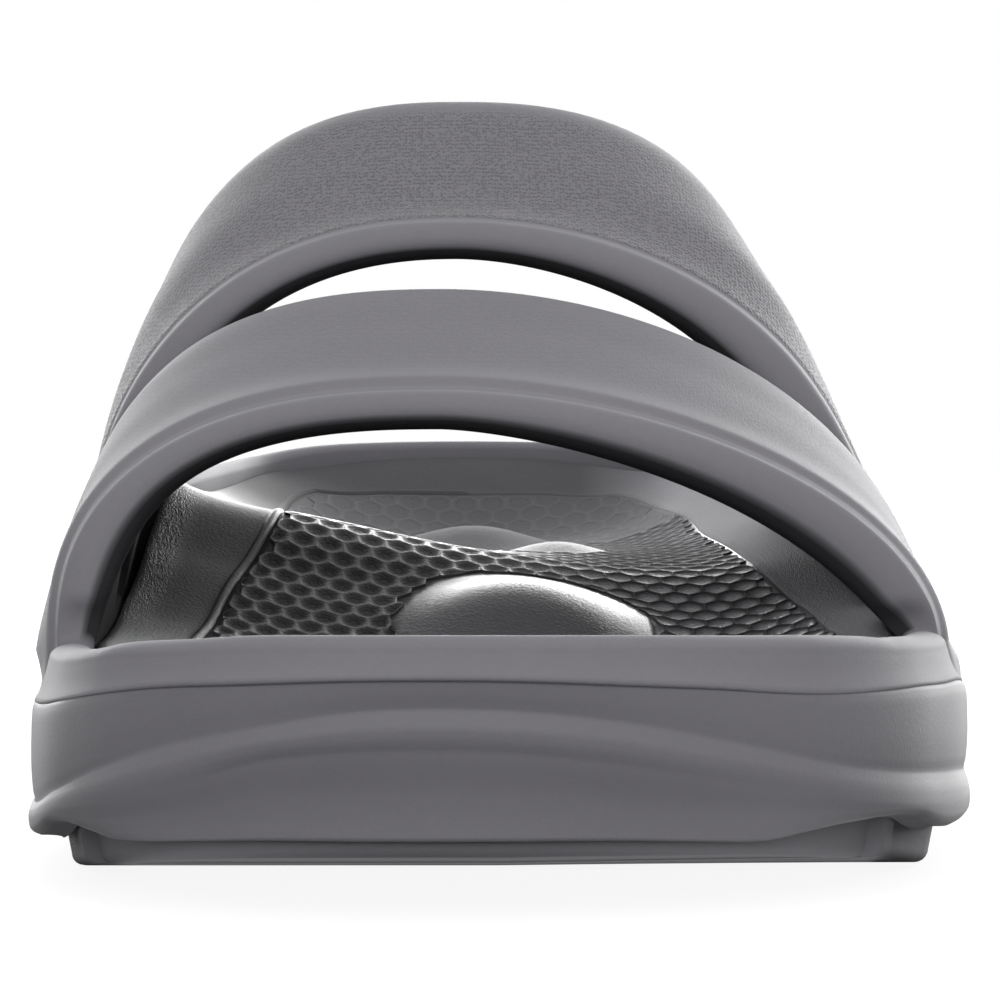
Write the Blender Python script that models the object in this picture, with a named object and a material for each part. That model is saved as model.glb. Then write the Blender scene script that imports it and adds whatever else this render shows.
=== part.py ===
# Two-strap moulded slide, left shoe: upper, footbed, insole, midsole and outsole.
# Sizes are in millimetres and turned into metres when the meshes are made.
# "along" runs from the toe tip (0) to the heel end; medial is -X, lateral is +X, the toe points to -Y.

import math

import bmesh
import bpy
import numpy as np

# Overall sizes
LENGTH = 286.0
CENTRE_X = -0.45
GAP = 0.3
FULLNESS = 2.2
TOE_STEPS = 10
SIDE_STEPS = 14
HEEL_STEPS = 11

# Plan outline of the sole: reach of each side from the centre line
OUTLINE = (
    # along, medial, lateral
    (0.0, 7.0, -7.0),
    (6.0, 31.0, 19.0),
    (20.0, 44.5, 37.0),
    (40.0, 50.6, 47.4),
    (65.0, 53.9, 53.2),
    (92.0, 55.4, 56.0),
    (125.0, 54.4, 56.2),
    (160.0, 52.0, 50.5),
    (200.0, 49.6, 43.4),
    (235.0, 47.4, 38.2),
    (262.0, 43.2, 32.4),
    (279.0, 29.2, 18.0),
    (286.0, 5.5, -5.5),
)

# Heights of the lines that run round the side, medial then lateral
MEDIAL_LINES = (
    # along, rim, step, crease, rib, edge
    (0.0, 29.7, 25.6, 22.2, 17.9, 8.4),
    (3.0, 29.6, 25.1, 20.3, 16.8, 8.3),
    (9.0, 29.0, 24.4, 18.2, 13.6, 7.9),
    (17.0, 28.4, 23.1, 15.4, 11.6, 7.5),
    (22.0, 27.8, 22.4, 14.0, 10.8, 8.1),
    (29.0, 27.2, 21.6, 12.3, 9.9, 8.6),
    (34.0, 27.0, 21.1, 11.4, 9.3, 8.2),
    (38.0, 26.8, 20.8, 10.7, 8.8, 7.3),
    (46.0, 26.6, 20.4, 9.6, 7.8, 6.0),
    (60.0, 26.5, 20.0, 8.6, 6.8, 4.8),
    (90.0, 27.0, 19.6, 7.9, 6.0, 4.4),
    (120.0, 31.5, 22.5, 10.0, 7.0, 4.6),
    (150.0, 41.5, 29.5, 14.6, 8.8, 5.2),
    (190.0, 44.6, 34.6, 21.0, 11.5, 5.4),
    (240.0, 46.0, 37.4, 26.0, 15.0, 5.6),
    (265.0, 47.2, 38.4, 27.4, 16.4, 6.4),
    (278.0, 48.9, 39.4, 28.1, 17.1, 7.0),
    (286.0, 49.5, 40.0, 28.5, 17.5, 7.4),
)
LATERAL_LINES = (
    # along, rim, step, crease, rib, edge
    (0.0, 29.7, 25.6, 22.2, 17.9, 8.4),
    (3.0, 29.6, 25.0, 20.9, 16.5, 8.3),
    (8.0, 29.4, 24.3, 18.9, 14.6, 7.9),
    (13.0, 29.2, 23.5, 17.2, 13.2, 7.6),
    (17.0, 29.1, 23.1, 16.0, 12.3, 8.3),
    (22.0, 28.9, 22.9, 15.0, 11.4, 8.9),
    (30.0, 28.5, 22.8, 14.0, 10.5, 9.2),
    (36.0, 28.1, 22.8, 13.5, 10.1, 8.8),
    (41.0, 28.0, 22.7, 13.2, 9.7, 7.7),
    (48.0, 27.8, 22.5, 12.8, 9.2, 6.6),
    (60.0, 27.6, 22.3, 12.2, 8.6, 5.9),
    (90.0, 27.6, 20.8, 10.8, 7.4, 5.4),
    (120.0, 29.0, 21.5, 11.4, 7.6, 5.0),
    (150.0, 34.0, 25.0, 13.2, 8.4, 5.0),
    (190.0, 41.2, 31.8, 18.5, 10.5, 5.4),
    (240.0, 45.9, 37.0, 25.0, 14.5, 5.6),
    (265.0, 47.2, 38.4, 27.2, 16.2, 6.4),
    (278.0, 48.9, 39.4, 28.1, 17.1, 7.0),
    (286.0, 49.5, 40.0, 28.5, 17.5, 7.4),
)
LINE_NAMES = ("rim", "step", "crease", "rib", "edge")

# Underside of the outsole above the floor: toe spring, raised waist, heel lift
SPRING = (
    # along, lift
    (0.0, 7.3),
    (6.0, 6.7),
    (50.0, 2.1),
    (80.0, 0.0),
    (122.0, 0.0),
    (152.0, 1.2),
    (182.0, 0.0),
    (258.0, 0.0),
    (286.0, 2.4),
)
TOE_ROLL = 1.0
ROLL_END = 86.0

# Side of the midsole from the ledge down: where between two lines, and how far in from the outline
RIBS = (
    # upper line, lower line, share, inset at the toe, inset at the side
    ("step", "crease", 0.00, 0.55, 0.3),
    ("step", "crease", 0.14, 0.62, 0.0),
    ("step", "crease", 0.55, 1.25, -0.1),
    ("step", "crease", 0.88, 1.80, 0.1),
    ("crease", "rib", 0.00, 1.95, 0.35),
    ("crease", "rib", 0.20, 1.75, 0.15),
    ("crease", "rib", 0.45, 1.55, -0.15),
    ("crease", "rib", 0.65, 1.70, -0.3),
    ("rib", "edge", 0.00, 2.45, -0.4),
    ("rib", "edge", 0.50, 4.20, -0.3),
    ("rib", "edge", 0.80, 4.75, 0.1),
    ("rib", "edge", 1.00, 4.90, 1.0),
)
RIB_FADE = 34.0
SEAT_TOE = 2.0

# Wall of the upper: inset of its outer face on the rim and under a strap, base to top
WALL = {"front": 5.6, "rear": 5.2}
BASE_SPREAD = 0.35
WALL_LEVELS = (
    # level, inset on the rim, inset under a strap medial, inset under a strap lateral
    (0.0, 0.3, 1.2, 0.6),
    (0.45, 1.3, 1.0, 0.9),
    (1.0, 2.0, 0.4, 2.3),
)
WALL_INSIDE = 7.0
TOP_ROUND = 1.6
STRAP_ROUND = 2.4
RIM_INSIDE = 1.3

# Strap edges in plan and crown heights
STRAP_EDGES = (
    # strap, edge, along at medial foot, along at crown, along at lateral foot
    ("front", "toe side", 62.0, 72.0, 70.0),
    ("front", "heel side", 109.0, 114.0, 116.0),
    ("rear", "toe side", 118.0, 126.0, 124.0),
    ("rear", "heel side", 180.0, 170.0, 188.0),
)
FRONT_CROWN = (
    # along, height
    (72.0, 56.6),
    (80.0, 57.9),
    (96.0, 63.1),
    (108.0, 67.6),
    (114.0, 69.1),
)
REAR_CROWN = (
    # along, height
    (126.0, 78.0),
    (134.0, 79.5),
    (150.0, 87.3),
    (164.0, 94.4),
    (170.0, 96.5),
)
ARCH = (
    # strap, skin, place, crown offset, medial power, lateral power, medial pinch, lateral pinch
    ("front", "outer", "toe side", -7.0, 2.53, 1.84, -0.5, -0.2),
    ("front", "outer", "panel", -7.0, 2.50, 1.92, 1.8, 1.3),
    ("front", "inner", "toe side", -7.0, 2.52, 1.54, 1.6, 2.1),
    ("front", "inner", "panel", -7.0, 2.50, 1.98, 1.2, 2.3),
    ("rear", "outer", "toe side", -5.5, 2.29, 1.96, -0.3, 3.7),
    ("rear", "outer", "panel", -5.5, 2.50, 2.45, 1.2, 4.6),
    ("rear", "inner", "toe side", -5.5, 2.22, 1.79, 1.9, 6.6),
    ("rear", "inner", "panel", -5.5, 2.33, 2.15, 1.6, 4.2),
)
ARCH_SPREAD = 0.40
ARCH_STEPS = 22

# Columns across a strap, from its toe side: hem, groove, panel
COLUMNS = (
    # share of the width, height above the plain face on the front strap, and on the rear strap
    (0.00, -0.2, -0.3),
    (0.03, 0.2, 0.1),
    (0.075, -0.3, 0.1),
    (0.14, 0.0, 0.1),
    (0.23, 0.1, 0.1),
    (0.46, 0.2, 0.2),
    (0.72, 0.2, 0.2),
    (0.93, 0.1, 0.1),
    (1.00, -0.7, -0.7),
)

# Heights of the footbed across, as shares of the half width of the sole
ACROSS = (-0.87, -0.70, -0.45, 0.0, 0.45, 0.87)
FOOTBED = (
    # along, medial, medial band, inner medial, centre, inner lateral, lateral
    (0.0, 28.9, 28.9, 28.9, 28.9, 28.9, 28.9),
    (7.0, 28.5, 28.45, 28.4, 28.4, 28.4, 28.5),
    (13.0, 28.0, 27.1, 25.9, 25.6, 25.9, 28.2),
    (24.0, 26.8, 25.3, 23.2, 22.8, 23.4, 27.6),
    (60.0, 25.8, 23.7, 20.6, 20.2, 21.0, 26.6),
    (90.0, 26.0, 23.6, 20.4, 19.8, 20.4, 26.4),
    (112.0, 28.4, 26.4, 23.8, 22.2, 22.0, 27.6),
    (130.0, 37.0, 33.9, 30.8, 28.0, 26.6, 30.5),
    (150.0, 45.6, 42.0, 39.2, 34.6, 32.4, 35.4),
    (175.0, 44.2, 40.7, 38.0, 34.2, 34.0, 39.0),
    (205.0, 43.4, 39.3, 35.2, 33.0, 34.4, 41.2),
    (235.0, 44.4, 40.5, 36.0, 33.8, 35.6, 44.0),
    (262.0, 45.9, 44.0, 41.4, 39.6, 41.2, 45.9),
    (279.0, 47.7, 47.6, 47.4, 47.2, 47.4, 47.7),
    (286.0, 48.5, 48.5, 48.5, 48.5, 48.5, 48.5),
)
FOOTBED_THICK = 5.0
CUP_DROP = 2.0
EDGE_ROLL = (
    # along, roundness of the edge medial, lateral
    (0.0, 0.9, 0.9),
    (70.0, 0.9, 1.6),
    (95.0, 0.9, 2.4),
    (140.0, 0.9, 2.4),
    (180.0, 0.9, 0.9),
    (286.0, 0.7, 0.7),
)
ROLL_WIDTH = 1.5
EDGE_LEAN = 0.42
LIP_RISE = {"medial": 0.4, "lateral": 0.1}
LIP_WIDTH = 1.4

# Edge of the textured inlay, in from the edge of the footbed
INLAY_EDGE = (
    # along, medial, lateral
    (0.0, 9.0, 9.0),
    (60.0, 8.0, 5.5),
    (105.0, 10.6, 6.0),
    (120.0, 12.2, 8.2),
    (150.0, 16.6, 11.4),
    (188.0, 12.0, 9.4),
    (220.0, 9.2, 6.4),
    (250.0, 7.5, 7.0),
    (286.0, 13.0, 13.0),
)
INLAY_THICK = 2.6

# Pads raised on the inlay
PADS = (
    # centre x, centre along, half width, half length, height
    (3.3, 123.0, 21.0, 20.0, 5.3),
    (-4.0, 222.0, 15.5, 17.0, 3.8),
    (7.8, 179.0, 9.0, 11.0, 1.6),
)

# Tread plate
OUTSOLE_THICK = 5.0
OUTSOLE_INSET = 3.8
OUTSOLE_DRAFT = 1.2
LIP_DROP = {"medial": 1.2, "lateral": 0.4}
FIN_DEPTH = 1.8
FIN_RECESS = (
    # along, share of the depth by which the side of the tread plate is set in
    (0.0, 1.0),
    (10.0, 0.85),
    (18.0, 1.0),
    (36.0, 1.0),
    (37.0, 0.0),
    (40.0, 0.0),
    (41.0, 1.0),
    (54.0, 0.8),
    (70.0, 0.0),
)
TREAD_MARGIN = 0.06
TREAD_DEPTH = 1.7
TREAD_TOP = 4.2
TREAD_FLOOR = 3.0
TREAD_POINT = 6.0
TREAD_GROOVES = (30.0, 46.0, 62.0, 78.0, 94.0, 110.0, 196.0, 212.0, 228.0, 244.0, 259.0)

# Looks of the solids: one grey foam in three shades
SHADES = {
    "outsole": (0.13, 0.13, 0.14, 1.0),
    "midsole": (0.19, 0.19, 0.20, 1.0),
    "footbed": (0.17, 0.17, 0.18, 1.0),
    "insole": (0.15, 0.15, 0.16, 1.0),
    "upper": (0.22, 0.22, 0.23, 1.0),
}


def smooth(x, knots, values):
    """Monotone cubic through the knots, held flat beyond both ends."""
    knots = np.asarray(knots, float)
    values = np.asarray(values, float)
    step = np.diff(knots)
    rise = np.diff(values) / step
    slope = np.zeros_like(values)
    slope[0] = rise[0]
    slope[-1] = rise[-1]
    for i in range(1, len(knots) - 1):
        if rise[i - 1] * rise[i] > 0.0:
            before = (2.0 * step[i] + step[i - 1]) / rise[i - 1]
            after = (step[i] + 2.0 * step[i - 1]) / rise[i]
            slope[i] = 3.0 * (step[i] + step[i - 1]) / (before + after)
    x = np.clip(np.asarray(x, float), knots[0], knots[-1])
    i = np.clip(np.searchsorted(knots, x) - 1, 0, len(knots) - 2)
    s = (x - knots[i]) / step[i]
    left = (1.0 + 2.0 * s) * (1.0 - s) ** 2 * values[i] + s * (1.0 - s) ** 2 * step[i] * slope[i]
    right = s * s * (3.0 - 2.0 * s) * values[i + 1] + s * s * (s - 1.0) * step[i] * slope[i + 1]
    return left + right


def column(table, index):
    """One column of a table, with the knots of its first column."""
    return [row[0] for row in table], [row[index] for row in table]


def ease(s):
    """Smooth step from 0 to 1."""
    s = min(max(s, 0.0), 1.0)
    return s * s * (3.0 - 2.0 * s)


def outline_reach(along):
    """Medial and lateral X of the sole's outline."""
    knots = [row[0] for row in OUTLINE]
    half = [((row[1] + row[2]) / 2.0) ** FULLNESS for row in OUTLINE]
    middle = [(row[2] - row[1]) / 2.0 for row in OUTLINE]
    width = np.maximum(smooth(along, knots, half), 0.0) ** (1.0 / FULLNESS)
    centre = smooth(along, knots, middle)
    return centre - width, centre + width


def make_edge():
    """The outline as a fine closed line: turn, X, along and inward normal for each side."""
    turn = np.linspace(0.0, math.pi, 721)
    along = LENGTH / 2.0 * (1.0 - np.cos(turn))
    medial, lateral = outline_reach(along)
    loop_x = np.concatenate([medial, lateral[-2:0:-1]])
    loop_t = np.concatenate([along, along[-2:0:-1]])
    run_x = np.roll(loop_x, -3) - np.roll(loop_x, 3)
    run_t = np.roll(loop_t, -3) - np.roll(loop_t, 3)
    size = np.hypot(run_x, run_t)
    normal_x = run_t / size
    normal_t = -run_x / size
    last = len(turn) - 1
    first_side = slice(0, last + 1)
    back = np.concatenate([[0], np.arange(len(loop_x) - 1, last - 1, -1)])
    edge = {"medial": (turn, loop_x[first_side], loop_t[first_side], normal_x[first_side], normal_t[first_side])}
    edge["lateral"] = (turn, loop_x[back], loop_t[back], normal_x[back], normal_t[back])
    return edge


EDGE = make_edge()


def edge_point(side, along, inset):
    """A point of the outline moved inward; gives X and along."""
    turn, x, t, normal_x, normal_t = EDGE[side]
    at = math.acos(1.0 - 2.0 * min(max(along / LENGTH, 0.0), 1.0))
    px = np.interp(at, turn, x) + inset * np.interp(at, turn, normal_x)
    pt = np.interp(at, turn, t) + inset * np.interp(at, turn, normal_t)
    return float(px), float(pt)


def line_height(name, side, along):
    """Height of one of the side lines."""
    table = MEDIAL_LINES if side == "medial" else LATERAL_LINES
    knots, values = column(table, 1 + LINE_NAMES.index(name))
    return float(smooth(along, knots, values))


def floor_lift(x, along):
    """Height of the outsole's underside; the lateral side of the toe springs a little more."""
    knots, values = column(SPRING, 1)
    roll = TOE_ROLL * max(x, 0.0) / 50.0 * ease((ROLL_END - along) / 40.0)
    return float(smooth(along, knots, values)) + roll


def footbed_height(x, along):
    """Top of the footbed without its pads."""
    medial, lateral = outline_reach(along)
    half = max((lateral - medial) / 2.0, 1.0)
    share = (x - (medial + lateral) / 2.0) / half
    heights = [float(smooth(along, *column(FOOTBED, 1 + k))) for k in range(len(ACROSS))]
    return float(smooth(share, ACROSS, heights))


def pad_height(x, along):
    """Sum of the pads raised on the inlay."""
    total = 0.0
    for centre_x, centre_t, half_x, half_t, height in PADS:
        far = ((x - centre_x) / half_x) ** 2 + ((along - centre_t) / half_t) ** 2
        if far < 1.0:
            total += height * (1.0 - far) ** 2
    return total


def toe_fade(along):
    """1 at the toe, 0 along the sides."""
    return 1.0 - ease(along / RIB_FADE)


def sole_stations():
    """Distances from the toe at which the sole pieces are cut; the same on both sides."""
    toe_end = STRAP_EDGES[0][2]
    heel_start = STRAP_EDGES[3][2]
    toe = [toe_end * (1.0 - math.cos(math.pi / 2.0 * i / TOE_STEPS)) for i in range(TOE_STEPS)]
    side = [toe_end + (heel_start - toe_end) * i / SIDE_STEPS for i in range(SIDE_STEPS)]
    heel = [heel_start + (LENGTH - heel_start) * math.sin(math.pi / 2.0 * i / HEEL_STEPS) for i in range(HEEL_STEPS)]
    return toe + side + heel + [LENGTH]


class Shell:
    """Points and faces of one closed solid."""

    def __init__(self):
        self.points = []
        self.faces = []

    def add(self, x, along, z):
        self.points.append(((x + CENTRE_X) / 1000.0, (along - LENGTH / 2.0) / 1000.0, z / 1000.0))
        return len(self.points) - 1

    def face(self, *corners):
        kept = []
        for corner in corners:
            if corner not in kept:
                kept.append(corner)
        if len(kept) > 2:
            self.faces.append(kept)

    def strip(self, low, high, closed=False):
        """Quads between two rows of the same length."""
        count = len(low) if closed else len(low) - 1
        for i in range(count):
            j = (i + 1) % len(low)
            self.face(low[i], low[j], high[j], high[i])

    def cap(self, ring, inner_rows):
        """Close a ring: ring[0] is the toe, the middle the heel, rows run from medial to lateral."""
        half = len(ring) // 2
        rows = []
        for k in range(1, half):
            rows.append([ring[k]] + inner_rows[k - 1] + [ring[len(ring) - k]])
        for i in range(len(rows[0]) - 1):
            self.face(ring[0], rows[0][i], rows[0][i + 1])
            self.face(ring[half], rows[-1][i + 1], rows[-1][i])
        for row, following in zip(rows, rows[1:]):
            self.strip(row, following)


def ring_places(stations, inset_of):
    """Round the shoe once: (side, along, x, t) for the stations, medial to the heel and back."""
    last = len(stations) - 1
    order = [("medial", k) for k in range(last + 1)] + [("lateral", k) for k in range(last - 1, 0, -1)]
    places = []
    for side, k in order:
        along = stations[k]
        x, t = edge_point(side, along, inset_of(side, along))
        places.append((side, along, x, t))
    return places


def add_ring(shell, stations, inset_of, height_of):
    """A ring of points at an inset and a height, both worked out for each place."""
    ring = []
    for side, along, x, t in ring_places(stations, inset_of):
        ring.append(shell.add(x, t, height_of(side, along, x, t)))
    return ring


def inner_points(shell, stations, inset_of, shares, height_of):
    """Points between the two sides of each row of a cap."""
    places = ring_places(stations, inset_of)
    rows = []
    for k in range(1, len(stations) - 1):
        _, _, x0, t0 = places[k]
        _, _, x1, t1 = places[len(places) - k]
        row = []
        for share in shares:
            x = x0 + (x1 - x0) * share
            t = t0 + (t1 - t0) * share
            row.append(shell.add(x, t, height_of(x, t)))
        rows.append(row)
    return rows


def level(value):
    """An inset that is the same all round."""
    return lambda side, along: value


def even_shares(count):
    """Shares of the way across, without both ends."""
    return [(i + 1) / (count + 1) for i in range(count)]


def finish(shell, name, collection):
    """Make the mesh object of a shell, with its own material."""
    mesh = bpy.data.meshes.new(name)
    mesh.from_pydata(shell.points, [], shell.faces)
    work = bmesh.new()
    work.from_mesh(mesh)
    bmesh.ops.recalc_face_normals(work, faces=work.faces)
    bmesh.ops.triangulate(work, faces=work.faces)
    work.to_mesh(mesh)
    work.free()
    material = bpy.data.materials.new(name)
    material.use_nodes = True
    shader = material.node_tree.nodes["Principled BSDF"]
    shader.inputs["Base Color"].default_value = SHADES[name]
    shader.inputs["Roughness"].default_value = 0.55
    mesh.materials.append(material)
    thing = bpy.data.objects.new(name, mesh)
    collection.objects.link(thing)
    return thing


def ledge_height(side, along):
    """Top of the ledge on which the upper stands."""
    return line_height("step", side, along)


def cup_floor(x, t):
    """Floor of the midsole's cup, under the footbed and below the ledge."""
    medial, lateral = outline_reach(t)
    share = min(max((x - medial) / max(lateral - medial, 1.0), 0.0), 1.0)
    near = line_height("step", "medial", t)
    ledge = near + (line_height("step", "lateral", t) - near) * share
    return min(footbed_height(x, t) - FOOTBED_THICK - GAP, ledge - CUP_DROP)


def build_midsole(collection):
    """The ribbed lower unit: side ribs, ledge, cup for the footbed and seat for the tread plate."""
    shell = Shell()
    stations = sole_stations()
    cup = WALL_INSIDE
    rings = []
    rings.append(add_ring(shell, stations, level(cup), lambda s, a, x, t: cup_floor(x, t)))
    rings.append(add_ring(shell, stations, level(cup), lambda s, a, x, t: ledge_height(s, a)))
    for upper, lower, share, at_toe, at_side in RIBS:
        def inset_of(side, along):
            return at_side + (at_toe - at_side) * toe_fade(along)

        def height_of(side, along, x, t):
            top = line_height(upper, side, along)
            return top + (line_height(lower, side, along) - top) * share

        rings.append(add_ring(shell, stations, inset_of, height_of))

    def seat_inset(side, along):
        return OUTSOLE_INSET - 0.4 + SEAT_TOE * toe_fade(along)

    def lip_inset(side, along):
        return seat_inset(side, along) - 0.3

    def seat_height(x, t):
        return floor_lift(x, t) + OUTSOLE_THICK + GAP

    def lip_height(side, along, x, t):
        drop = LIP_DROP[side] * (1.0 - toe_fade(along))
        return min(line_height("edge", side, along) - drop, seat_height(x, t) - 0.1)

    rings.append(add_ring(shell, stations, lip_inset, lip_height))
    rings.append(add_ring(shell, stations, seat_inset, lambda s, a, x, t: seat_height(x, t)))
    for upper_ring, lower_ring in zip(rings, rings[1:]):
        shell.strip(lower_ring, upper_ring, closed=True)
    top_rows = inner_points(shell, stations, level(cup), even_shares(5), cup_floor)
    shell.cap(rings[0], top_rows)
    low_rows = inner_points(shell, stations, seat_inset, even_shares(2), seat_height)
    shell.cap(rings[-1], low_rows)
    return finish(shell, "midsole", collection)


def inlay_inset(side, along):
    """Inset of the inlay's edge from the sole's outline."""
    knots, values = column(INLAY_EDGE, 1 if side == "medial" else 2)
    return WALL_INSIDE + GAP + float(smooth(along, knots, values))


def build_footbed(collection):
    """The contoured cup: outer wall, rounded edge, side bands, lip and the recess for the inlay."""
    shell = Shell()
    stations = sole_stations()
    outer = WALL_INSIDE + GAP

    def bottom(x, t):
        return cup_floor(x, t) + GAP

    def recess(x, t):
        return footbed_height(x, t) - INLAY_THICK - GAP

    def lip_out(side, along):
        return inlay_inset(side, along) - LIP_WIDTH

    def lip_in(side, along):
        return inlay_inset(side, along) - GAP

    def lean(side, along):
        x, t = edge_point(side, along, outer)
        above = footbed_height(x, t) - line_height("rim", side, along) + RIM_INSIDE
        return outer + 0.3 + EDGE_LEAN * max(above, 0.0)

    def roll(side, along):
        knots, values = column(EDGE_ROLL, 1 if side == "medial" else 2)
        return float(smooth(along, knots, values))

    def band(side, along):
        return lean(side, along) + ROLL_WIDTH * roll(side, along)

    rings = [
        add_ring(shell, stations, level(outer), lambda s, a, x, t: bottom(x, t)),
        add_ring(shell, stations, lean, lambda s, a, x, t: footbed_height(x, t) - roll(s, a)),
        add_ring(shell, stations, band, lambda s, a, x, t: footbed_height(x, t)),
        add_ring(shell, stations, lip_out, lambda s, a, x, t: footbed_height(x, t)),
        add_ring(shell, stations, lip_in, lambda s, a, x, t: footbed_height(x, t) + LIP_RISE[s]),
        add_ring(shell, stations, lip_in, lambda s, a, x, t: recess(x, t)),
    ]
    for low, high in zip(rings, rings[1:]):
        shell.strip(low, high, closed=True)
    shell.cap(rings[0], inner_points(shell, stations, level(outer), even_shares(5), bottom))
    shell.cap(rings[-1], inner_points(shell, stations, lip_in, even_shares(5), recess))
    return finish(shell, "footbed", collection)


def build_insole(collection):
    """The inlay with its pads."""
    shell = Shell()
    stations = sole_stations()

    def low(x, t):
        return footbed_height(x, t) - INLAY_THICK

    def top(x, t):
        return footbed_height(x, t) + pad_height(x, t)

    rings = [
        add_ring(shell, stations, inlay_inset, lambda s, a, x, t: low(x, t)),
        add_ring(shell, stations, inlay_inset, lambda s, a, x, t: top(x, t)),
    ]
    shell.strip(rings[0], rings[1], closed=True)
    shell.cap(rings[0], inner_points(shell, stations, inlay_inset, even_shares(5), low))
    shell.cap(rings[1], inner_points(shell, stations, inlay_inset, even_shares(15), top))
    return finish(shell, "insole", collection)


def tread_stations():
    """Stations of the outsole with the depth of the tread at each: (along, depth)."""
    fins = [row[0] for row in FIN_RECESS if row[1] in (0.0, 1.0)][2:6]
    rows = [(along, 0.0) for along in sole_stations() if not fins[0] - 1.0 < along < fins[-1] + 1.0]
    rows += [(along, 0.0) for along in fins]
    for middle in TREAD_GROOVES:
        reach = TREAD_TOP / 2.0 + 1.0
        rows = [row for row in rows if abs(row[0] - middle) > reach]
        rows += [(middle - TREAD_TOP / 2.0, 0.0), (middle - TREAD_FLOOR / 2.0, TREAD_DEPTH)]
        rows += [(middle + TREAD_FLOOR / 2.0, TREAD_DEPTH), (middle + TREAD_TOP / 2.0, 0.0)]
    return sorted(rows)


def fin_inset(extra):
    """Inset of the tread plate's side: set in before and behind the fin near the toe."""
    alongs, shares = column(FIN_RECESS, 1)
    return lambda side, along: OUTSOLE_INSET + extra + FIN_DEPTH * float(np.interp(along, alongs, shares))


def build_outsole(collection):
    """The tread plate with its fins and its chevron grooves, which stop short of the side."""
    shell = Shell()
    rows = tread_stations()
    stations = [row[0] for row in rows]
    depth = dict(rows)
    shares = [TREAD_MARGIN, 0.28, 0.5, 0.72, 1.0 - TREAD_MARGIN]
    top_inset = fin_inset(0.0)
    low_inset = fin_inset(OUTSOLE_DRAFT)
    top_ring = add_ring(shell, stations, top_inset, lambda s, a, x, t: floor_lift(x, t) + OUTSOLE_THICK)
    low_ring = add_ring(shell, stations, low_inset, lambda s, a, x, t: floor_lift(x, t))
    shell.strip(low_ring, top_ring, closed=True)
    top_rows = inner_points(
        shell, stations, top_inset, even_shares(1), lambda x, t: floor_lift(x, t) + OUTSOLE_THICK)
    shell.cap(top_ring, top_rows)
    places = ring_places(stations, low_inset)
    low_rows = []
    for k in range(1, len(stations) - 1):
        _, along, x0, t0 = places[k]
        _, _, x1, t1 = places[len(places) - k]
        ends = ease(along / 40.0) * ease((LENGTH - along) / 40.0)
        row = []
        for share in shares:
            shift = TREAD_POINT * ends * (1.0 - abs(2.0 * share - 1.0))
            x = x0 + (x1 - x0) * share
            t = t0 + (t1 - t0) * share - shift
            row.append(shell.add(x, t, floor_lift(x, t) + depth[along]))
        low_rows.append(row)
    shell.cap(low_ring, low_rows)
    return finish(shell, "outsole", collection)


def strap_columns(strap):
    """Columns of a strap: medial foot, crown and lateral foot along, with the lift of each."""
    front, back = [row for row in STRAP_EDGES if row[0] == strap]
    found = []
    for share, front_lift, rear_lift in COLUMNS:
        feet = [front[k] + (back[k] - front[k]) * share for k in (2, 3, 4)]
        found.append((feet[0], feet[1], feet[2], front_lift if strap == "front" else rear_lift))
    return found


def upper_stations():
    """Per side, the stations of the rim, and the index ranges of the straps among them."""
    sides = {"medial": [], "lateral": []}
    spans = {}
    for side, foot in (("medial", 2), ("lateral", 4)):
        toe_end = STRAP_EDGES[0][foot]
        heel_start = STRAP_EDGES[3][foot]
        found = [toe_end * (1.0 - math.cos(math.pi / 2.0 * i / TOE_STEPS)) for i in range(TOE_STEPS)]
        for strap in ("front", "rear"):
            spans[strap] = (len(found), len(found) + len(COLUMNS) - 1)
            found += [row[0] if side == "medial" else row[2] for row in strap_columns(strap)]
        for i in range(1, HEEL_STEPS):
            found.append(heel_start + (LENGTH - heel_start) * math.sin(math.pi / 2.0 * i / HEEL_STEPS))
        sides[side] = found + [LENGTH]
    return sides, spans


def strap_share(index, spans):
    """0 on the rim and at a strap's toe side, rising to 1 over its panel."""
    for first, last in spans.values():
        if first <= index <= last:
            across = COLUMNS[index - first][0]
            return ease(across / BASE_SPREAD) * (1.0 - 0.5 * ease((across - 0.8) / 0.2))
    return 0.0


def hem_lift(index, spans):
    """Lift of the strap column that stands on this station."""
    for strap, (first, last) in spans.items():
        if first <= index <= last:
            return strap_columns(strap)[index - first][3]
    return 0.0


def rim_section(side, along, index, spans):
    """Points of the wall at one station: outer face up, rounded top, inner face down, as (x, t, z)."""
    share = strap_share(index, spans)
    base = line_height("step", side, along) + GAP
    top = line_height("rim", side, along)
    shoulder = top - TOP_ROUND
    points = {}
    for number, (rise, on_rim, on_medial, on_lateral) in enumerate(WALL_LEVELS):
        on_strap = on_medial if side == "medial" else on_lateral
        inset = on_rim + (on_strap - on_rim) * share
        x, t = edge_point(side, along, inset - hem_lift(index, spans) * rise)
        points["out%d" % number] = (x, t, base + (shoulder - base) * rise)
    for name, share_in, rise in (("round0", 0.30, 0.85), ("round1", 0.70, 1.0)):
        x, t = edge_point(side, along, inset + (WALL_INSIDE - inset) * share_in)
        points[name] = (x, t, shoulder + TOP_ROUND * rise)
    x, t = edge_point(side, along, WALL_INSIDE)
    points["in1"] = (x, t, top - RIM_INSIDE)
    points["in0"] = (x, t, base)
    return points


def arch_values(strap, skin, share):
    """Offset, powers and pinches of an arch at a share of the strap's width."""
    toe_side, panel = [row[3:] for row in ARCH if row[:2] == (strap, skin)]
    return blend(toe_side, panel, ease(share / ARCH_SPREAD))


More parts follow.
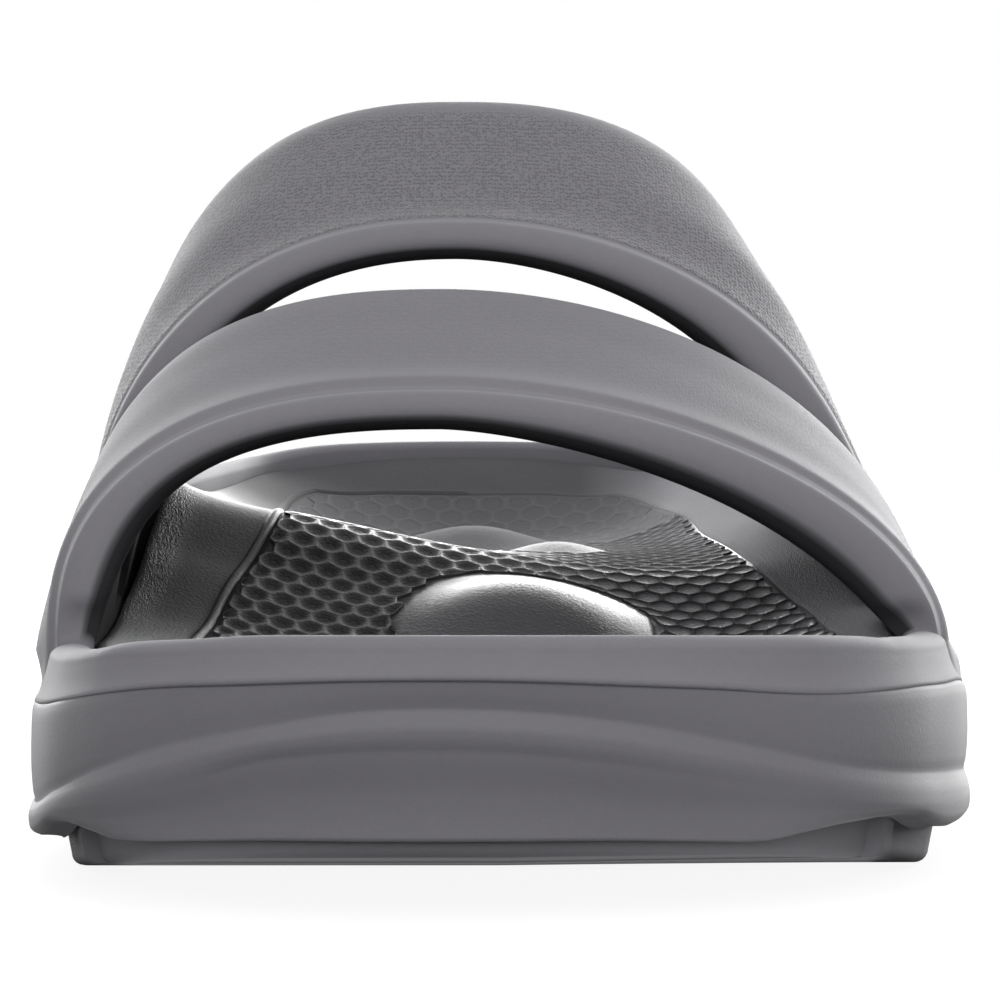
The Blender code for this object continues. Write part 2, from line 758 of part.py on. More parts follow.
def arch_point(values, turn, medial, lateral, crown):
    """A point of an arch between its two feet; crown is (along, height)."""
    offset, medial_power, lateral_power, medial_pinch, lateral_pinch = values
    on_medial = turn <= math.pi / 2.0
    foot = medial if on_medial else lateral
    power = medial_power if on_medial else lateral_power
    pinch = medial_pinch if on_medial else lateral_pinch
    up = math.sin(turn)
    out = abs(math.cos(turn))
    rise = up ** (2.0 / power)
    span = foot[0] - offset
    x = offset + span * out ** (2.0 / power)
    x -= math.copysign(pinch, span) * 6.75 * up * (1.0 - up) ** 2
    t = foot[1] + (crown[0] - foot[1]) * up
    z = foot[2] + (crown[1] - foot[2]) * rise
    return x, t, z


def blend(a, b, share):
    """Point between two points."""
    return tuple(p + (q - p) * share for p, q in zip(a, b))


def crown_height(strap, along):
    """Height of a strap's crown."""
    table = FRONT_CROWN if strap == "front" else REAR_CROWN
    return float(smooth(along, *column(table, 1)))


def arch_turns():
    """Turns of the rows of an arch, both feet left out."""
    return [math.pi * i / ARCH_STEPS for i in range(1, ARCH_STEPS)]


def add_straps(shell, sections, rim_points, spans):
    """Both straps: outer and inner skin between the columns, and the rounded edges."""
    for strap, (first, last) in spans.items():
        columns = strap_columns(strap)
        outer_rows = []
        inner_rows = []
        for number, (_, crown_t, _, lift) in enumerate(columns):
            index = first + number
            height = crown_height(strap, crown_t)
            outer = [rim_points["medial"][index]["out2"]]
            inner = [rim_points["medial"][index]["in1"]]
            medial = sections["medial"][index]
            lateral = sections["lateral"][index]
            outer_values = arch_values(strap, "outer", COLUMNS[number][0])
            inner_values = arch_values(strap, "inner", COLUMNS[number][0])
            for turn in arch_turns():
                crown = (crown_t, height + lift)
                place = arch_point(outer_values, turn, medial["out2"], lateral["out2"], crown)
                outer.append(shell.add(*place))
                crown = (crown_t, height - WALL[strap])
                place = arch_point(inner_values, turn, medial["in1"], lateral["in1"], crown)
                inner.append(shell.add(*place))
            outer.append(rim_points["lateral"][index]["out2"])
            inner.append(rim_points["lateral"][index]["in1"])
            outer_rows.append(outer)
            inner_rows.append(inner)
        for k in range(len(columns) - 1):
            shell.strip(outer_rows[k], outer_rows[k + 1])
            shell.strip(inner_rows[k + 1], inner_rows[k])
        add_strap_edge(shell, outer_rows[0], inner_rows[0], rim_points, first, -1.0)
        add_strap_edge(shell, outer_rows[-1], inner_rows[-1], rim_points, last, 1.0)


def add_strap_edge(shell, outer, inner, rim_points, index, facing):
    """Rounded edge of a strap between its outer and inner skin."""
    round0 = [rim_points["medial"][index]["round0"]]
    round1 = [rim_points["medial"][index]["round1"]]
    for k in range(1, len(outer) - 1):
        a = [1000.0 * c for c in shell.points[outer[k]]]
        b = [1000.0 * c for c in shell.points[inner[k]]]
        swell = facing * STRAP_ROUND
        for row, share in ((round0, 0.25), (round1, 0.70)):
            x, y, z = blend(a, b, share)
            row.append(shell.add(x - CENTRE_X, y + LENGTH / 2.0 + swell, z))
    round0.append(rim_points["lateral"][index]["round0"])
    round1.append(rim_points["lateral"][index]["round1"])
    shell.strip(outer, round0)
    shell.strip(round0, round1)
    shell.strip(round1, inner)


def build_upper(collection):
    """Rim band and both straps in one hollow solid, open underneath."""
    shell = Shell()
    stations, spans = upper_stations()
    sections = {"medial": [], "lateral": []}
    rim_points = {"medial": [], "lateral": []}
    last = len(stations["medial"]) - 1
    for side in ("medial", "lateral"):
        for index, along in enumerate(stations[side]):
            section = rim_section(side, along, index, spans)
            sections[side].append(section)
            if side == "lateral" and index in (0, last):
                rim_points[side].append(rim_points["medial"][index])
            else:
                rim_points[side].append({name: shell.add(*place) for name, place in section.items()})
    wall = ("in1", "in0", "out0", "out1", "out2")
    crest = ("out2", "round0", "round1", "in1")
    inside_strap = set()
    for first, end in spans.values():
        inside_strap.update(range(first, end))
    for side in ("medial", "lateral"):
        for index in range(last):
            near = rim_points[side][index]
            far = rim_points[side][index + 1]
            names = list(zip(wall, wall[1:]))
            if index not in inside_strap:
                names += list(zip(crest, crest[1:]))
            for low, high in names:
                shell.face(near[low], far[low], far[high], near[high])
    add_straps(shell, sections, rim_points, spans)
    return finish(shell, "upper", collection)


def clear_scene():
    """Remove whatever the start-up scene holds."""
    for thing in list(bpy.data.objects):
        bpy.data.objects.remove(thing, do_unlink=True)


def main():
    clear_scene()
    collection = bpy.data.collections.new("two_strap_slide")
    bpy.context.scene.collection.children.link(collection)
    build_outsole(collection)
    build_midsole(collection)
    build_footbed(collection)
    build_insole(collection)
    build_upper(collection)


main()
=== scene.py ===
# Dressed two-strap slide: five finely shaped pieces in the frame of the solids, with floor, light and camera.
# Sizes are in millimetres and turned into metres when the meshes are made.
# "along" runs from the toe tip (0) to the heel end; medial is -X, lateral is +X, the toe points to -Y.

import math

import bmesh
import bpy
import numpy as np
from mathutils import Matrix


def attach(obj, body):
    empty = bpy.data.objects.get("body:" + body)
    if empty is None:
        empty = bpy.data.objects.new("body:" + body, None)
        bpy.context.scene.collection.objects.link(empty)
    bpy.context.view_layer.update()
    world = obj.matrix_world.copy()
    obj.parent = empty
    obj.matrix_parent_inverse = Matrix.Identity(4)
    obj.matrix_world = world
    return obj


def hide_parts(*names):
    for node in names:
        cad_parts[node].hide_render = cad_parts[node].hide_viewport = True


# Overall sizes
LENGTH = 286.0
CENTRE_X = -0.45
FULLNESS = 2.2
SEAM = 0.06
RING_STATIONS = 300
EDGE_POINTS = 2881
EDGE_REACH = 12

# Plan outline of the sole: reach of each side from the centre line
OUTLINE = (
    # along, medial, lateral
    (0, 7, -7),
    (6, 31, 19),
    (20, 44.5, 37),
    (40, 50.6, 47.4),
    (65, 53.9, 53.2),
    (92, 55.4, 56),
    (125, 54.4, 56.2),
    (160, 52, 50.5),
    (200, 49.6, 43.4),
    (235, 47.4, 38.2),
    (262, 43.2, 32.4),
    (279, 29.2, 18),
    (286, 5.5, -5.5),
)

# Heights of the lines that run round the side, medial then lateral
MEDIAL_LINES = (
    # along, rim, step, crease, rib, edge
    (0, 29.7, 25.6, 22.2, 17.9, 8.4),
    (3, 29.6, 25.1, 20.3, 16.8, 8.3),
    (9, 29, 24.4, 18.2, 13.6, 7.9),
    (17, 28.4, 23.1, 15.4, 11.6, 7.5),
    (22, 27.8, 22.4, 14, 10.8, 8.1),
    (29, 27.2, 21.6, 12.3, 9.9, 8.6),
    (34, 27, 21.1, 11.4, 9.3, 8.2),
    (38, 26.8, 20.8, 10.7, 8.8, 7.3),
    (46, 26.6, 20.4, 9.6, 7.8, 6),
    (60, 26.5, 20, 8.6, 6.8, 4.8),
    (90, 27, 19.6, 7.9, 6, 4.4),
    (120, 31.5, 22.5, 10, 7, 4.6),
    (150, 41.5, 29.5, 14.6, 8.8, 5.2),
    (190, 44.6, 34.6, 21, 11.5, 5.4),
    (240, 46, 37.4, 26, 15, 5.6),
    (265, 47.2, 38.4, 27.4, 16.4, 6.4),
    (278, 48.9, 39.4, 28.1, 17.1, 7),
    (286, 49.5, 40, 28.5, 17.5, 7.4),
)
LATERAL_LINES = (
    # along, rim, step, crease, rib, edge
    (0, 29.7, 25.6, 22.2, 17.9, 8.4),
    (3, 29.6, 25, 20.9, 16.5, 8.3),
    (8, 29.4, 24.3, 18.9, 14.6, 7.9),
    (13, 29.2, 23.5, 17.2, 13.2, 7.6),
    (17, 29.1, 23.1, 16, 12.3, 8.3),
    (22, 28.9, 22.9, 15, 11.4, 8.9),
    (30, 28.5, 22.8, 14, 10.5, 9.2),
    (36, 28.1, 22.8, 13.5, 10.1, 8.8),
    (41, 28, 22.7, 13.2, 9.7, 7.7),
    (48, 27.8, 22.5, 12.8, 9.2, 6.6),
    (60, 27.6, 22.3, 12.2, 8.6, 5.9),
    (90, 27.6, 20.8, 10.8, 7.4, 5.4),
    (120, 29, 21.5, 11.4, 7.6, 5),
    (150, 34, 25, 13.2, 8.4, 5),
    (190, 41.2, 31.8, 18.5, 10.5, 5.4),
    (240, 45.9, 37, 25, 14.5, 5.6),
    (265, 47.2, 38.4, 27.2, 16.2, 6.4),
    (278, 48.9, 39.4, 28.1, 17.1, 7),
    (286, 49.5, 40, 28.5, 17.5, 7.4),
)
LINE_NAMES = ("rim", "step", "crease", "rib", "edge")

# Underside of the outsole above the floor: toe spring, raised waist, heel lift
SPRING = (
    # along, lift
    (0, 7.3),
    (6, 6.7),
    (50, 2.1),
    (80, 0),
    (122, 0),
    (152, 1.2),
    (182, 0),
    (258, 0),
    (286, 2.4),
)
TOE_ROLL = 1.0
ROLL_END = 86.0
ROLL_FADE = 40.0
ROLL_REACH = 50.0

# Side of the midsole from the ledge down: level 0 is the step, 1 the crease, 2 the rib and 3 the edge
RIBS = (
    # level, inset at the toe, inset at the side
    (0.00, 0.75, 0.3),
    (0.14, 0.85, 0),
    (0.55, 1.30, -0.1),
    (0.88, 1.80, 0.1),
    (1.00, 1.95, 0.35),
    (1.20, 1.75, 0.15),
    (1.45, 1.55, -0.15),
    (1.65, 1.70, -0.3),
    (2.00, 2.45, -0.4),
    (2.50, 4.20, -0.3),
    (2.80, 4.75, 0.1),
    (3.00, 4.90, 1),
)
RIB_FADE = 34.0
SEAT_TOE = 2.0
SEAT_MARGIN = 0.3
LIP_LEAST = 0.3
FILLET_POWER = 0.8
SEAT_COLUMNS = 3
RIB_STEPS = 60
FILLET_STEPS = 7

# Wall of the upper: inset of its outer face on the rim and under a strap, base to top
WALL = {"front": 5.6, "rear": 5.2}
BASE_SPREAD = 0.35
BACK_SPREAD = (0.8, 0.2, 0.5)
WALL_LEVELS = (
    # level, inset on the rim, inset under a strap medial, inset under a strap lateral
    (0, 0.3, 1.2, 0.6),
    (0.45, 1.3, 1, 0.9),
    (1, 2, 0.4, 2.3),
)
WALL_INSIDE = 7.0
HANG = (
    # inset beyond the foot of the wall, drop below the ledge at the toe
    (0.62, 0),
    (0.50, 0.42),
    (0.24, 0.50),
    (0.06, 0.28),
)
WALL_STEPS = 9
INNER_STEPS = 5
TOE_STATIONS = 76
GAP_STATIONS = 10
HEEL_STATIONS = 80
TOP_ROUND = 1.6
STRAP_ROUND = 2.4
HEM_ROLL = {-1.0: 1.6, 1.0: 0.0}
HEM_RISE = 28.0
RIM_INSIDE = 1.3
ROUND_STEPS = 16
EDGE_TURN_UP = 7.0

# Strap edges in plan and crown heights
STRAP_EDGES = (
    # strap, edge, along at medial foot, along at crown, along at lateral foot
    ("front", "toe side", 62.0, 72.0, 70.0),
    ("front", "heel side", 109.0, 114.0, 116.0),
    ("rear", "toe side", 118.0, 126.0, 124.0),
    ("rear", "heel side", 180.0, 170.0, 188.0),
)
CROWNS = {
    "front": ((72.0, 56.6), (80.0, 57.9), (96.0, 63.1), (108.0, 67.6), (114.0, 69.1)),
    "rear": ((126.0, 78.0), (134.0, 79.5), (150.0, 87.3), (164.0, 94.4), (170.0, 96.5)),
}
ARCH = {
    # strap, skin, place: crown offset, medial power, lateral power, medial pinch, lateral pinch
    ("front", "outer", "toe side"): (-7.0, 2.53, 1.84, -0.5, -0.2),
    ("front", "outer", "panel"): (-7.0, 2.50, 1.92, 1.8, 1.3),
    ("front", "inner", "toe side"): (-7.0, 2.52, 1.54, 1.6, 2.1),
    ("front", "inner", "panel"): (-7.0, 2.50, 1.98, 1.2, 2.3),
    ("rear", "outer", "toe side"): (-5.5, 2.29, 1.96, -0.3, 3.7),
    ("rear", "outer", "panel"): (-5.5, 2.50, 2.45, 1.2, 4.6),
    ("rear", "inner", "toe side"): (-5.5, 2.22, 1.79, 1.9, 6.6),
    ("rear", "inner", "panel"): (-5.5, 2.33, 2.15, 1.6, 4.2),
}
ARCH_SPREAD = 0.40
ARCH_STEPS = 130
PINCH_SCALE = 6.75
FOOT_FADE = 10.0
STRAP_COLUMNS = (
    # from and to, as shares of the width, number of columns
    (0.0, 0.28, 29),
    (0.28, 0.92, 22),
    (0.92, 1.0, 7),
)

# Profile across a strap from its toe side: hem, groove, panel, rolled back edge
STRAP_PROFILE = {
    # share of the width, height above the plain face, strength of the grain and of the painted shade in its
    # pits
    "front": (
        (0.00, -1, 0.00),
        (0.025, -0.85, 0.00),
        (0.05, -0.72, 0.02),
        (0.07, -0.35, 0.03),
        (0.09, 0, 0.05),
        (0.115, 0.12, 0.08),
        (0.16, 0.15, 0.12),
        (0.27, 0.12, 0.18),
        (0.46, 0.2, 0.20),
        (0.72, 0.2, 0.20),
        (0.93, 0.1, 0.20),
        (1.00, -0.7, 0.10),
    ),
    "rear": (
        (0.00, -0.3, 0.00),
        (0.02, -0.25, 0.00),
        (0.04, -0.2, 0.10),
        (0.055, 0, 1.40),
        (0.07, 0.1, 1.30),
        (0.10, 0.1, 1.15),
        (0.23, 0.1, 1.00),
        (0.46, 0.2, 1.00),
        (0.80, 0.2, 1.00),
        (0.86, 0.2, 0.15),
        (0.93, 0.1, 0.00),
        (1.00, -0.7, 0.00),
    ),
}
# Painted shade inside the upper: along these spans the inner face of the wall, and between the straps the
# inner half of the rim's crest, are painted dark as shade
SHADED_WALL = (47.0, 200.0)
WALL_FADE = (6.0, 20.0)
SHADED_GAP = (104.0, 128.0)
GAP_FADE = 4.0
TURNED_IN = (0.4, 0.3)
# Strap edges painted dark on their inner half down to their feet, as shade: strap, -1 for its toe side and 1
# for its heel side
EDGES_SHADED_TO_FOOT = (("front", -1.0), ("front", 1.0), ("rear", -1.0))
# Shares of the way round a strap's rounded edge where its painted inside shade begins and where it is full
INSIDE_SHADE_SHARE = {"front": (0.60, 0.75), "rear": (0.68, 0.72)}

# Heights of the footbed across, as shares of the half width of the sole
ACROSS = (-0.87, -0.70, -0.45, 0.0, 0.45, 0.87)
FOOTBED = (
    # along, medial, medial band, inner medial, centre, inner lateral, lateral
    (0, 28.9, 28.9, 28.9, 28.9, 28.9, 28.9),
    (7, 28.5, 28.45, 28.4, 28.4, 28.4, 28.5),
    (13, 28, 27.1, 25.9, 25.6, 25.9, 28.2),
    (24, 26.8, 25.3, 23.2, 22.8, 23.4, 27.6),
    (60, 25.8, 23.7, 20.6, 20.2, 21, 26.6),
    (90, 26, 23.6, 20.4, 19.8, 20.4, 26.4),
    (112, 28.4, 26.4, 23.8, 22.2, 22, 27.6),
    (130, 37, 33.9, 30.8, 28, 26.6, 30.5),
    (150, 45.6, 42, 39.2, 34.6, 32.4, 35.4),
    (175, 44.2, 40.7, 38, 34.2, 34, 39),
    (205, 43.4, 39.3, 35.2, 33, 34.4, 41.2),
    (235, 44.4, 40.5, 36, 33.8, 35.6, 44),
    (262, 45.9, 44, 41.4, 39.6, 41.2, 45.9),
    (279, 47.7, 47.6, 47.4, 47.2, 47.4, 47.7),
    (286, 48.5, 48.5, 48.5, 48.5, 48.5, 48.5),
)
FOOTBED_THICK = 5.0
CUP_COLUMNS = 5
RECESS_COLUMNS = 7
CUP_DROP = 2.0
EDGE_ROLL = (
    # along, roundness of the edge medial, lateral
    (0, 0.9, 0.9),
    (70, 0.9, 1.6),
    (95, 0.9, 2.4),
    (140, 0.9, 2.4),
    (180, 0.9, 0.9),
    (286, 0.7, 0.7),
)
ROLL_WIDTH = 1.5
ROLL_ROWS = 6
EDGE_CLEAR = 0.1
EDGE_LEAN = 0.42
LIP_RISE = (0.4, 0.1)
LIP_WIDTH = 1.4
LIP_UP = 0.5
LIP_DOWN = (0.7, 0.3)
BAND_STEPS = 12
LIP_STEPS = 8
CRINKLE_SPAN = (104.0, 118.0, 150.0, 172.0)
CRINKLE_WIDTH = 4.2
CRINKLE_FADE = (2.0, 3.0)

# Edge of the textured inlay, in from the edge of the footbed
INLAY_EDGE = (
    # along, medial, lateral
    (0, 9, 9),
    (60, 8, 5.5),
    (105, 10.6, 6),
    (120, 12.2, 8.2),
    (150, 16.6, 11.4),
    (188, 12, 9.4),
    (220, 9.2, 6.4),
    (250, 7.5, 7),
    (286, 13, 13),
)
INLAY_THICK = 2.6
INLAY_MARGIN = 0.3
INLAY_SHOULDER = 0.3
INLAY_COLUMNS = 66

# Pads raised on the inlay
PADS = (
    # centre x, centre along, half width, half length, height
    (3.3, 123, 21, 20, 5.3),
    (-4, 222, 15.5, 17, 3.8),
    (7.8, 179, 9, 11, 1.6),
)
# The smooth top of a pad, as a share of its reach; the first one is cut off along a slanting line
PAD_SMOOTH = 0.80
PAD_BORDER = (0.97, 0.05)
PAD_CUT_START = (-15.0, 119.0)
PAD_CUT_END = (-5.7, 140.0)

# Raised net on the inlay: small mesh under the foot, wide honeycomb in the heel
NETS = (
    # name, pitch, stretch along the shoe, ridge width, ridge height
    ("small", 3.6, 1.0, 0.80, 0.32),
    ("heel", 4.2, 1.8, 0.55, 0.10),
)
NET_RIDGE = (
    # share of the ridge width in from a cell's outline, share of the height, paint: the share of the ridge's
    # painted grey
    (0.25, 0.86, 1),
    (0.55, 0.44, 0.5),
    (1.10, 0.08, 0),
    (1.80, -0.15, 0),
)
NET_BORDER = 0.35
NET_CLEAR = 1.02
NET_HALF = 60.0
NET_SUNK = 0.5
CELL_POINTS = 12
CELL_HALVINGS = 10
CELL_KEPT = 0.15
CUT_RISE = 0.12
CORNER_CUT = 1.55
PAD_PAINT = 1.6
NET_SPLIT = 212.0
NET_SPLIT_LEAN = 0.35

# Tread plate
OUTSOLE_THICK = 5.0
OUTSOLE_INSET = 3.8
OUTSOLE_DRAFT = 0.72
OUTSOLE_ROUND = 1.3
OUTSOLE_ROWS = 6
LIP_DROP = (0.35, 0.4)
FIN_DEPTH = 1.8
FIN_SPAN = (36.0, 41.0)
FIN_STATIONS = 30
FIN_RECESS = (
    # along, share of the depth by which the side of the tread plate is set in
    (0, 1),
    (10, 0.85),
    (18, 1),
    (36, 1),
    (37, 0),
    (40, 0),
    (41, 1),
    (54, 0.8),
    (70, 0),
)
TREAD_MARGIN = 0.06
MARGIN_STEPS = (0.35, 0.7, 1.0)
TREAD_FADE = 40.0
TREAD_DEPTH = 1.7
TREAD_TOP = 4.2
TREAD_POINT = 6.0
TREAD_GROOVES = (30.0, 46.0, 62.0, 78.0, 94.0, 110.0, 196.0, 212.0, 228.0, 244.0, 259.0)
TREAD_COLUMNS = 41
GROOVE_PROFILE = ((-1.0, 0.0), (-0.72, 0.9), (-0.55, 1.0), (0.55, 1.0), (0.72, 0.9), (1.0, 0.0))
STATION_MARGIN = 0.4
SIPE_PITCH = 3.2
SIPE_DEPTH = 0.35
SIPE_START = 14.0
SIPE_FADE = 10.0
SIPE_MARGIN = 0.1

# Camera, in metres and pixels of a 1000 px frame
CAMERA_BEFORE_TOE = 0.500
CAMERA_HEIGHT = 0.050
CAMERA_FOCAL_PX = 4907.0
CAMERA_TILT_PX = 62.0
FRAME_PX = 1000.0
SENSOR = 36.0


def smooth(x, knots, values):
    """Monotone cubic through the knots, held flat beyond both ends; values may have a row for each x."""
    knots = np.asarray(knots, float)
    values = np.asarray(values, float)
    step = np.diff(knots)
    rise = np.diff(values, axis=-1) / step
    slope = np.zeros(values.shape)
    slope[..., 0] = rise[..., 0]
    slope[..., -1] = rise[..., -1]
    before = rise[..., :-1]
    after = rise[..., 1:]
    same = before * after > 0.0
    weight_a = 2.0 * step[1:] + step[:-1]
    weight_b = step[1:] + 2.0 * step[:-1]
    parts = weight_a / np.where(same, before, 1.0) + weight_b / np.where(same, after, 1.0)
    slope[..., 1:-1] = np.where(same, (weight_a + weight_b) / np.where(same, parts, 1.0), 0.0)
    x = np.clip(np.asarray(x, float), knots[0], knots[-1])
    i = np.clip(np.searchsorted(knots, x) - 1, 0, len(knots) - 2)
    s = (x - knots[i]) / step[i]
    if values.ndim == 1:
        v0, v1, g0, g1 = values[i], values[i + 1], slope[i], slope[i + 1]
    else:
        row = np.arange(len(x))
        v0, v1, g0, g1 = values[row, i], values[row, i + 1], slope[row, i], slope[row, i + 1]
    left = (1.0 + 2.0 * s) * (1.0 - s) ** 2 * v0 + s * (1.0 - s) ** 2 * step[i] * g0
    right = s * s * (3.0 - 2.0 * s) * v1 + s * s * (s - 1.0) * step[i] * g1
    return left + right


def column(table, index):
    """One column of a table, with the knots of its first column."""
    return [row[0] for row in table], [row[index] for row in table]


def read(table, index, at):
    """A column of a table, read smoothly at some places along it."""
    return smooth(at, *column(table, index))


def by_side(table, medial, along):
    """The first value column of a table on the medial side, the second one on the lateral side."""
    return np.where(medial, read(table, 1, along), read(table, 2, along))


def blend(start, end, share):
    """A value on the way from one to another."""
    return start + (end - start) * share


def ease(s):
    """Smooth step from 0 to 1."""
    s = np.clip(s, 0.0, 1.0)
    return s * s * (3.0 - 2.0 * s)


def outline_reach(along):
    """Medial and lateral X of the sole's outline."""
    knots = [row[0] for row in OUTLINE]
    half = [((row[1] + row[2]) / 2.0) ** FULLNESS for row in OUTLINE]
    middle = [(row[2] - row[1]) / 2.0 for row in OUTLINE]
    width = np.maximum(smooth(along, knots, half), 0.0) ** (1.0 / FULLNESS)
    centre = smooth(along, knots, middle)
    return centre - width, centre + width


def make_edge():
    """The outline as a fine closed line: its turn, then X, along and inward normal for each side."""
    turn = np.linspace(0.0, math.pi, EDGE_POINTS)
    along = LENGTH / 2.0 * (1.0 - np.cos(turn))
    medial, lateral = outline_reach(along)
    loop_x = np.concatenate([medial, lateral[-2:0:-1]])
    loop_t = np.concatenate([along, along[-2:0:-1]])
    run_x = np.roll(loop_x, -EDGE_REACH) - np.roll(loop_x, EDGE_REACH)
    run_t = np.roll(loop_t, -EDGE_REACH) - np.roll(loop_t, EDGE_REACH)
    size = np.hypot(run_x, run_t)
    loop = np.array([loop_x, loop_t, run_t / size, -run_x / size])
    last = len(turn) - 1
    back = np.concatenate([[0], np.arange(len(loop_x) - 1, last - 1, -1)])
    return turn, loop[:, :last + 1], loop[:, back]


EDGE_TURNS, EDGE_MEDIAL, EDGE_LATERAL = make_edge()


def edge_point(medial, along, inset):
    """Points of the outline moved inward: X and along."""
    at = np.arccos(1.0 - 2.0 * np.clip(along / LENGTH, 0.0, 1.0))
    found = []
    for near, far in zip(EDGE_MEDIAL, EDGE_LATERAL):
        found.append(np.where(medial, np.interp(at, EDGE_TURNS, near), np.interp(at, EDGE_TURNS, far)))
    x, t, normal_x, normal_t = found
    return x + inset * normal_x, t + inset * normal_t


def line_height(name, medial, along):
    """Height of one of the side lines."""
    index = 1 + LINE_NAMES.index(name)
    near = read(MEDIAL_LINES, index, along)
    far = read(LATERAL_LINES, index, along)
    return np.where(medial, near, far)


def floor_lift(x, along):
    """Height of the outsole's underside; the lateral side of the toe springs a little more."""
    roll = TOE_ROLL * np.maximum(x, 0.0) / ROLL_REACH * ease((ROLL_END - along) / ROLL_FADE)
    return read(SPRING, 1, along) + roll


def footbed_height(x, along):
    """Top of the footbed without its pads."""
    shape = np.shape(x)
    x = np.ravel(x)
    along = np.ravel(along)
    medial, lateral = outline_reach(along)
    half = np.maximum((lateral - medial) / 2.0, 1.0)
    share = (x - (medial + lateral) / 2.0) / half
    heights = np.stack([read(FOOTBED, 1 + k, along) for k in range(len(ACROSS))], axis=-1)
    return smooth(share, ACROSS, heights).reshape(shape)


def pad_reach(x, along):
    """For each pad, 0 at its middle and 1 at its border."""
    found = []
    for centre_x, centre_t, half_x, half_t, _ in PADS:
        found.append(np.hypot((x - centre_x) / half_x, (along - centre_t) / half_t))
    return found


def pad_height(x, along):
    """Sum of the pads raised on the inlay."""
    total = np.zeros(np.shape(x))
    for far, pad in zip(pad_reach(x, along), PADS):
        total += pad[4] * np.maximum(1.0 - far ** 2, 0.0) ** 2
    return total


def even_stations(count, start=0.0, end=LENGTH):
    """Distances from the toe, evenly spaced along the medial edge."""
    x, t = EDGE_MEDIAL[0], EDGE_MEDIAL[1]
    run = np.concatenate([[0.0], np.cumsum(np.hypot(np.diff(x), np.diff(t)))])
    first, last = np.interp([start, end], t, run)
    found = np.interp(np.linspace(first, last, count), run, t)
    found[0] = start
    found[-1] = end
    return found


def ring_of(stations):
    """Round the shoe once: which side each place is on, and its distance from the toe."""
    medial = np.concatenate([np.ones(len(stations), bool), np.zeros(len(stations) - 2, bool)])
    along = np.concatenate([stations, stations[-2:0:-1]])
    return medial, along


class Work:
    """Points, faces and one painted value of a piece."""

    def __init__(self):
        self.points = []
        self.paint = []
        self.faces = []
        self.count = 0

    def add(self, x, along, z, paint=0.0):
        """Add points, whatever the shape of the arrays; gives their numbers in the same shape."""
        x, along, z, paint = np.broadcast_arrays(x, along, z, paint)
        place = np.stack([x + CENTRE_X, along - LENGTH / 2.0, z], axis=-1) / 1000.0
        self.points.append(place.reshape(-1, 3))
        self.paint.append(np.ravel(paint).astype(float))
        numbers = np.arange(self.count, self.count + x.size).reshape(x.shape)
        self.count += x.size
        return numbers

    def grid(self, rows, closed=False):
        """Quads between rows of points; closed joins the ends of each row."""
        rows = np.asarray(rows)
        if closed:
            rows = np.concatenate([rows, rows[:, :1]], axis=1)
        quads = np.stack([rows[:-1, :-1], rows[:-1, 1:], rows[1:, 1:], rows[1:, :-1]], axis=-1)
        self.faces += quads.reshape(-1, 4).tolist()

    def fan(self, tip, row):
        """Triangles from one point to a row."""
        for a, b in zip(row[:-1], row[1:]):
            self.faces.append([int(tip), int(a), int(b)])

    def cap(self, ring, inner):
        """Close a ring: ring[0] is the toe, the middle the heel, inner rows run from medial to lateral."""
        half = len(ring) // 2
        near = ring[1:half][:, None]
        far = ring[:half:-1][:, None]
        rows = np.concatenate([near, inner, far], axis=1)
        self.fan(ring[0], rows[0])
        self.fan(ring[half], rows[-1])
        self.grid(rows)


def between(ring_x, ring_t, shares):
    """Plan places between the two sides of each row of a cap."""
    half = len(ring_x) // 2
    x0, x1 = ring_x[1:half][:, None], ring_x[:half:-1][:, None]
    t0, t1 = ring_t[1:half][:, None], ring_t[:half:-1][:, None]
    return blend(x0, x1, shares), blend(t0, t1, shares)


def even_shares(count):
    """Shares of the way across, without both ends."""
    return np.arange(1, count + 1) / (count + 1.0)


def make_piece(work, name, node, material):
    """Turn finished work into an object that rides on the shoe and stands for its solid."""
    mesh = bpy.data.meshes.new(name)
    mesh.from_pydata(np.concatenate(work.points).tolist(), [], work.faces)
    shape = bmesh.new()
    shape.from_mesh(mesh)
    bmesh.ops.recalc_face_normals(shape, faces=shape.faces)
    shape.to_mesh(mesh)
    shape.free()
    mesh.polygons.foreach_set("use_smooth", np.ones(len(mesh.polygons), bool))
    paint = mesh.attributes.new("paint", "FLOAT", "POINT")
    paint.data.foreach_set("value", np.concatenate(work.paint))
    mesh.materials.append(material)
    thing = bpy.data.objects.new(name, mesh)
    bpy.context.scene.collection.objects.link(thing)
    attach(thing, "root")
    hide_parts(node)
    return thing


def cup_floor(x, t):
    """Floor of the midsole's cup, under the footbed and below the ledge."""
    medial, lateral = outline_reach(t)
    share = np.clip((x - medial) / np.maximum(lateral - medial, 1.0), 0.0, 1.0)
    ledge = blend(line_height("step", True, t), line_height("step", False, t), share)
    return np.minimum(footbed_height(x, t) - FOOTBED_THICK - SEAM, ledge - CUP_DROP)


def seat_height(x, t):
    """Underside of the midsole where the tread plate sits."""
    return floor_lift(x, t) + OUTSOLE_THICK + SEAM


def rib_rings(medial, along):
    """Insets and heights of the ribbed side, from the ledge down to the lip."""
    levels = np.linspace(0.0, 3.0, RIB_STEPS + 1)
    at_toe = read(RIBS, 1, levels)
    at_side = read(RIBS, 2, levels)
    fade = 1.0 - ease(along / RIB_FADE)
    lines = np.stack([line_height(name, medial, along) for name in LINE_NAMES[1:]])
    found = []
    for level, toe, side in zip(levels, at_toe, at_side):
        low = min(int(level), 2)
        height = blend(lines[low], lines[low + 1], level - low)
        found.append((blend(side, toe, fade), height))
    return found


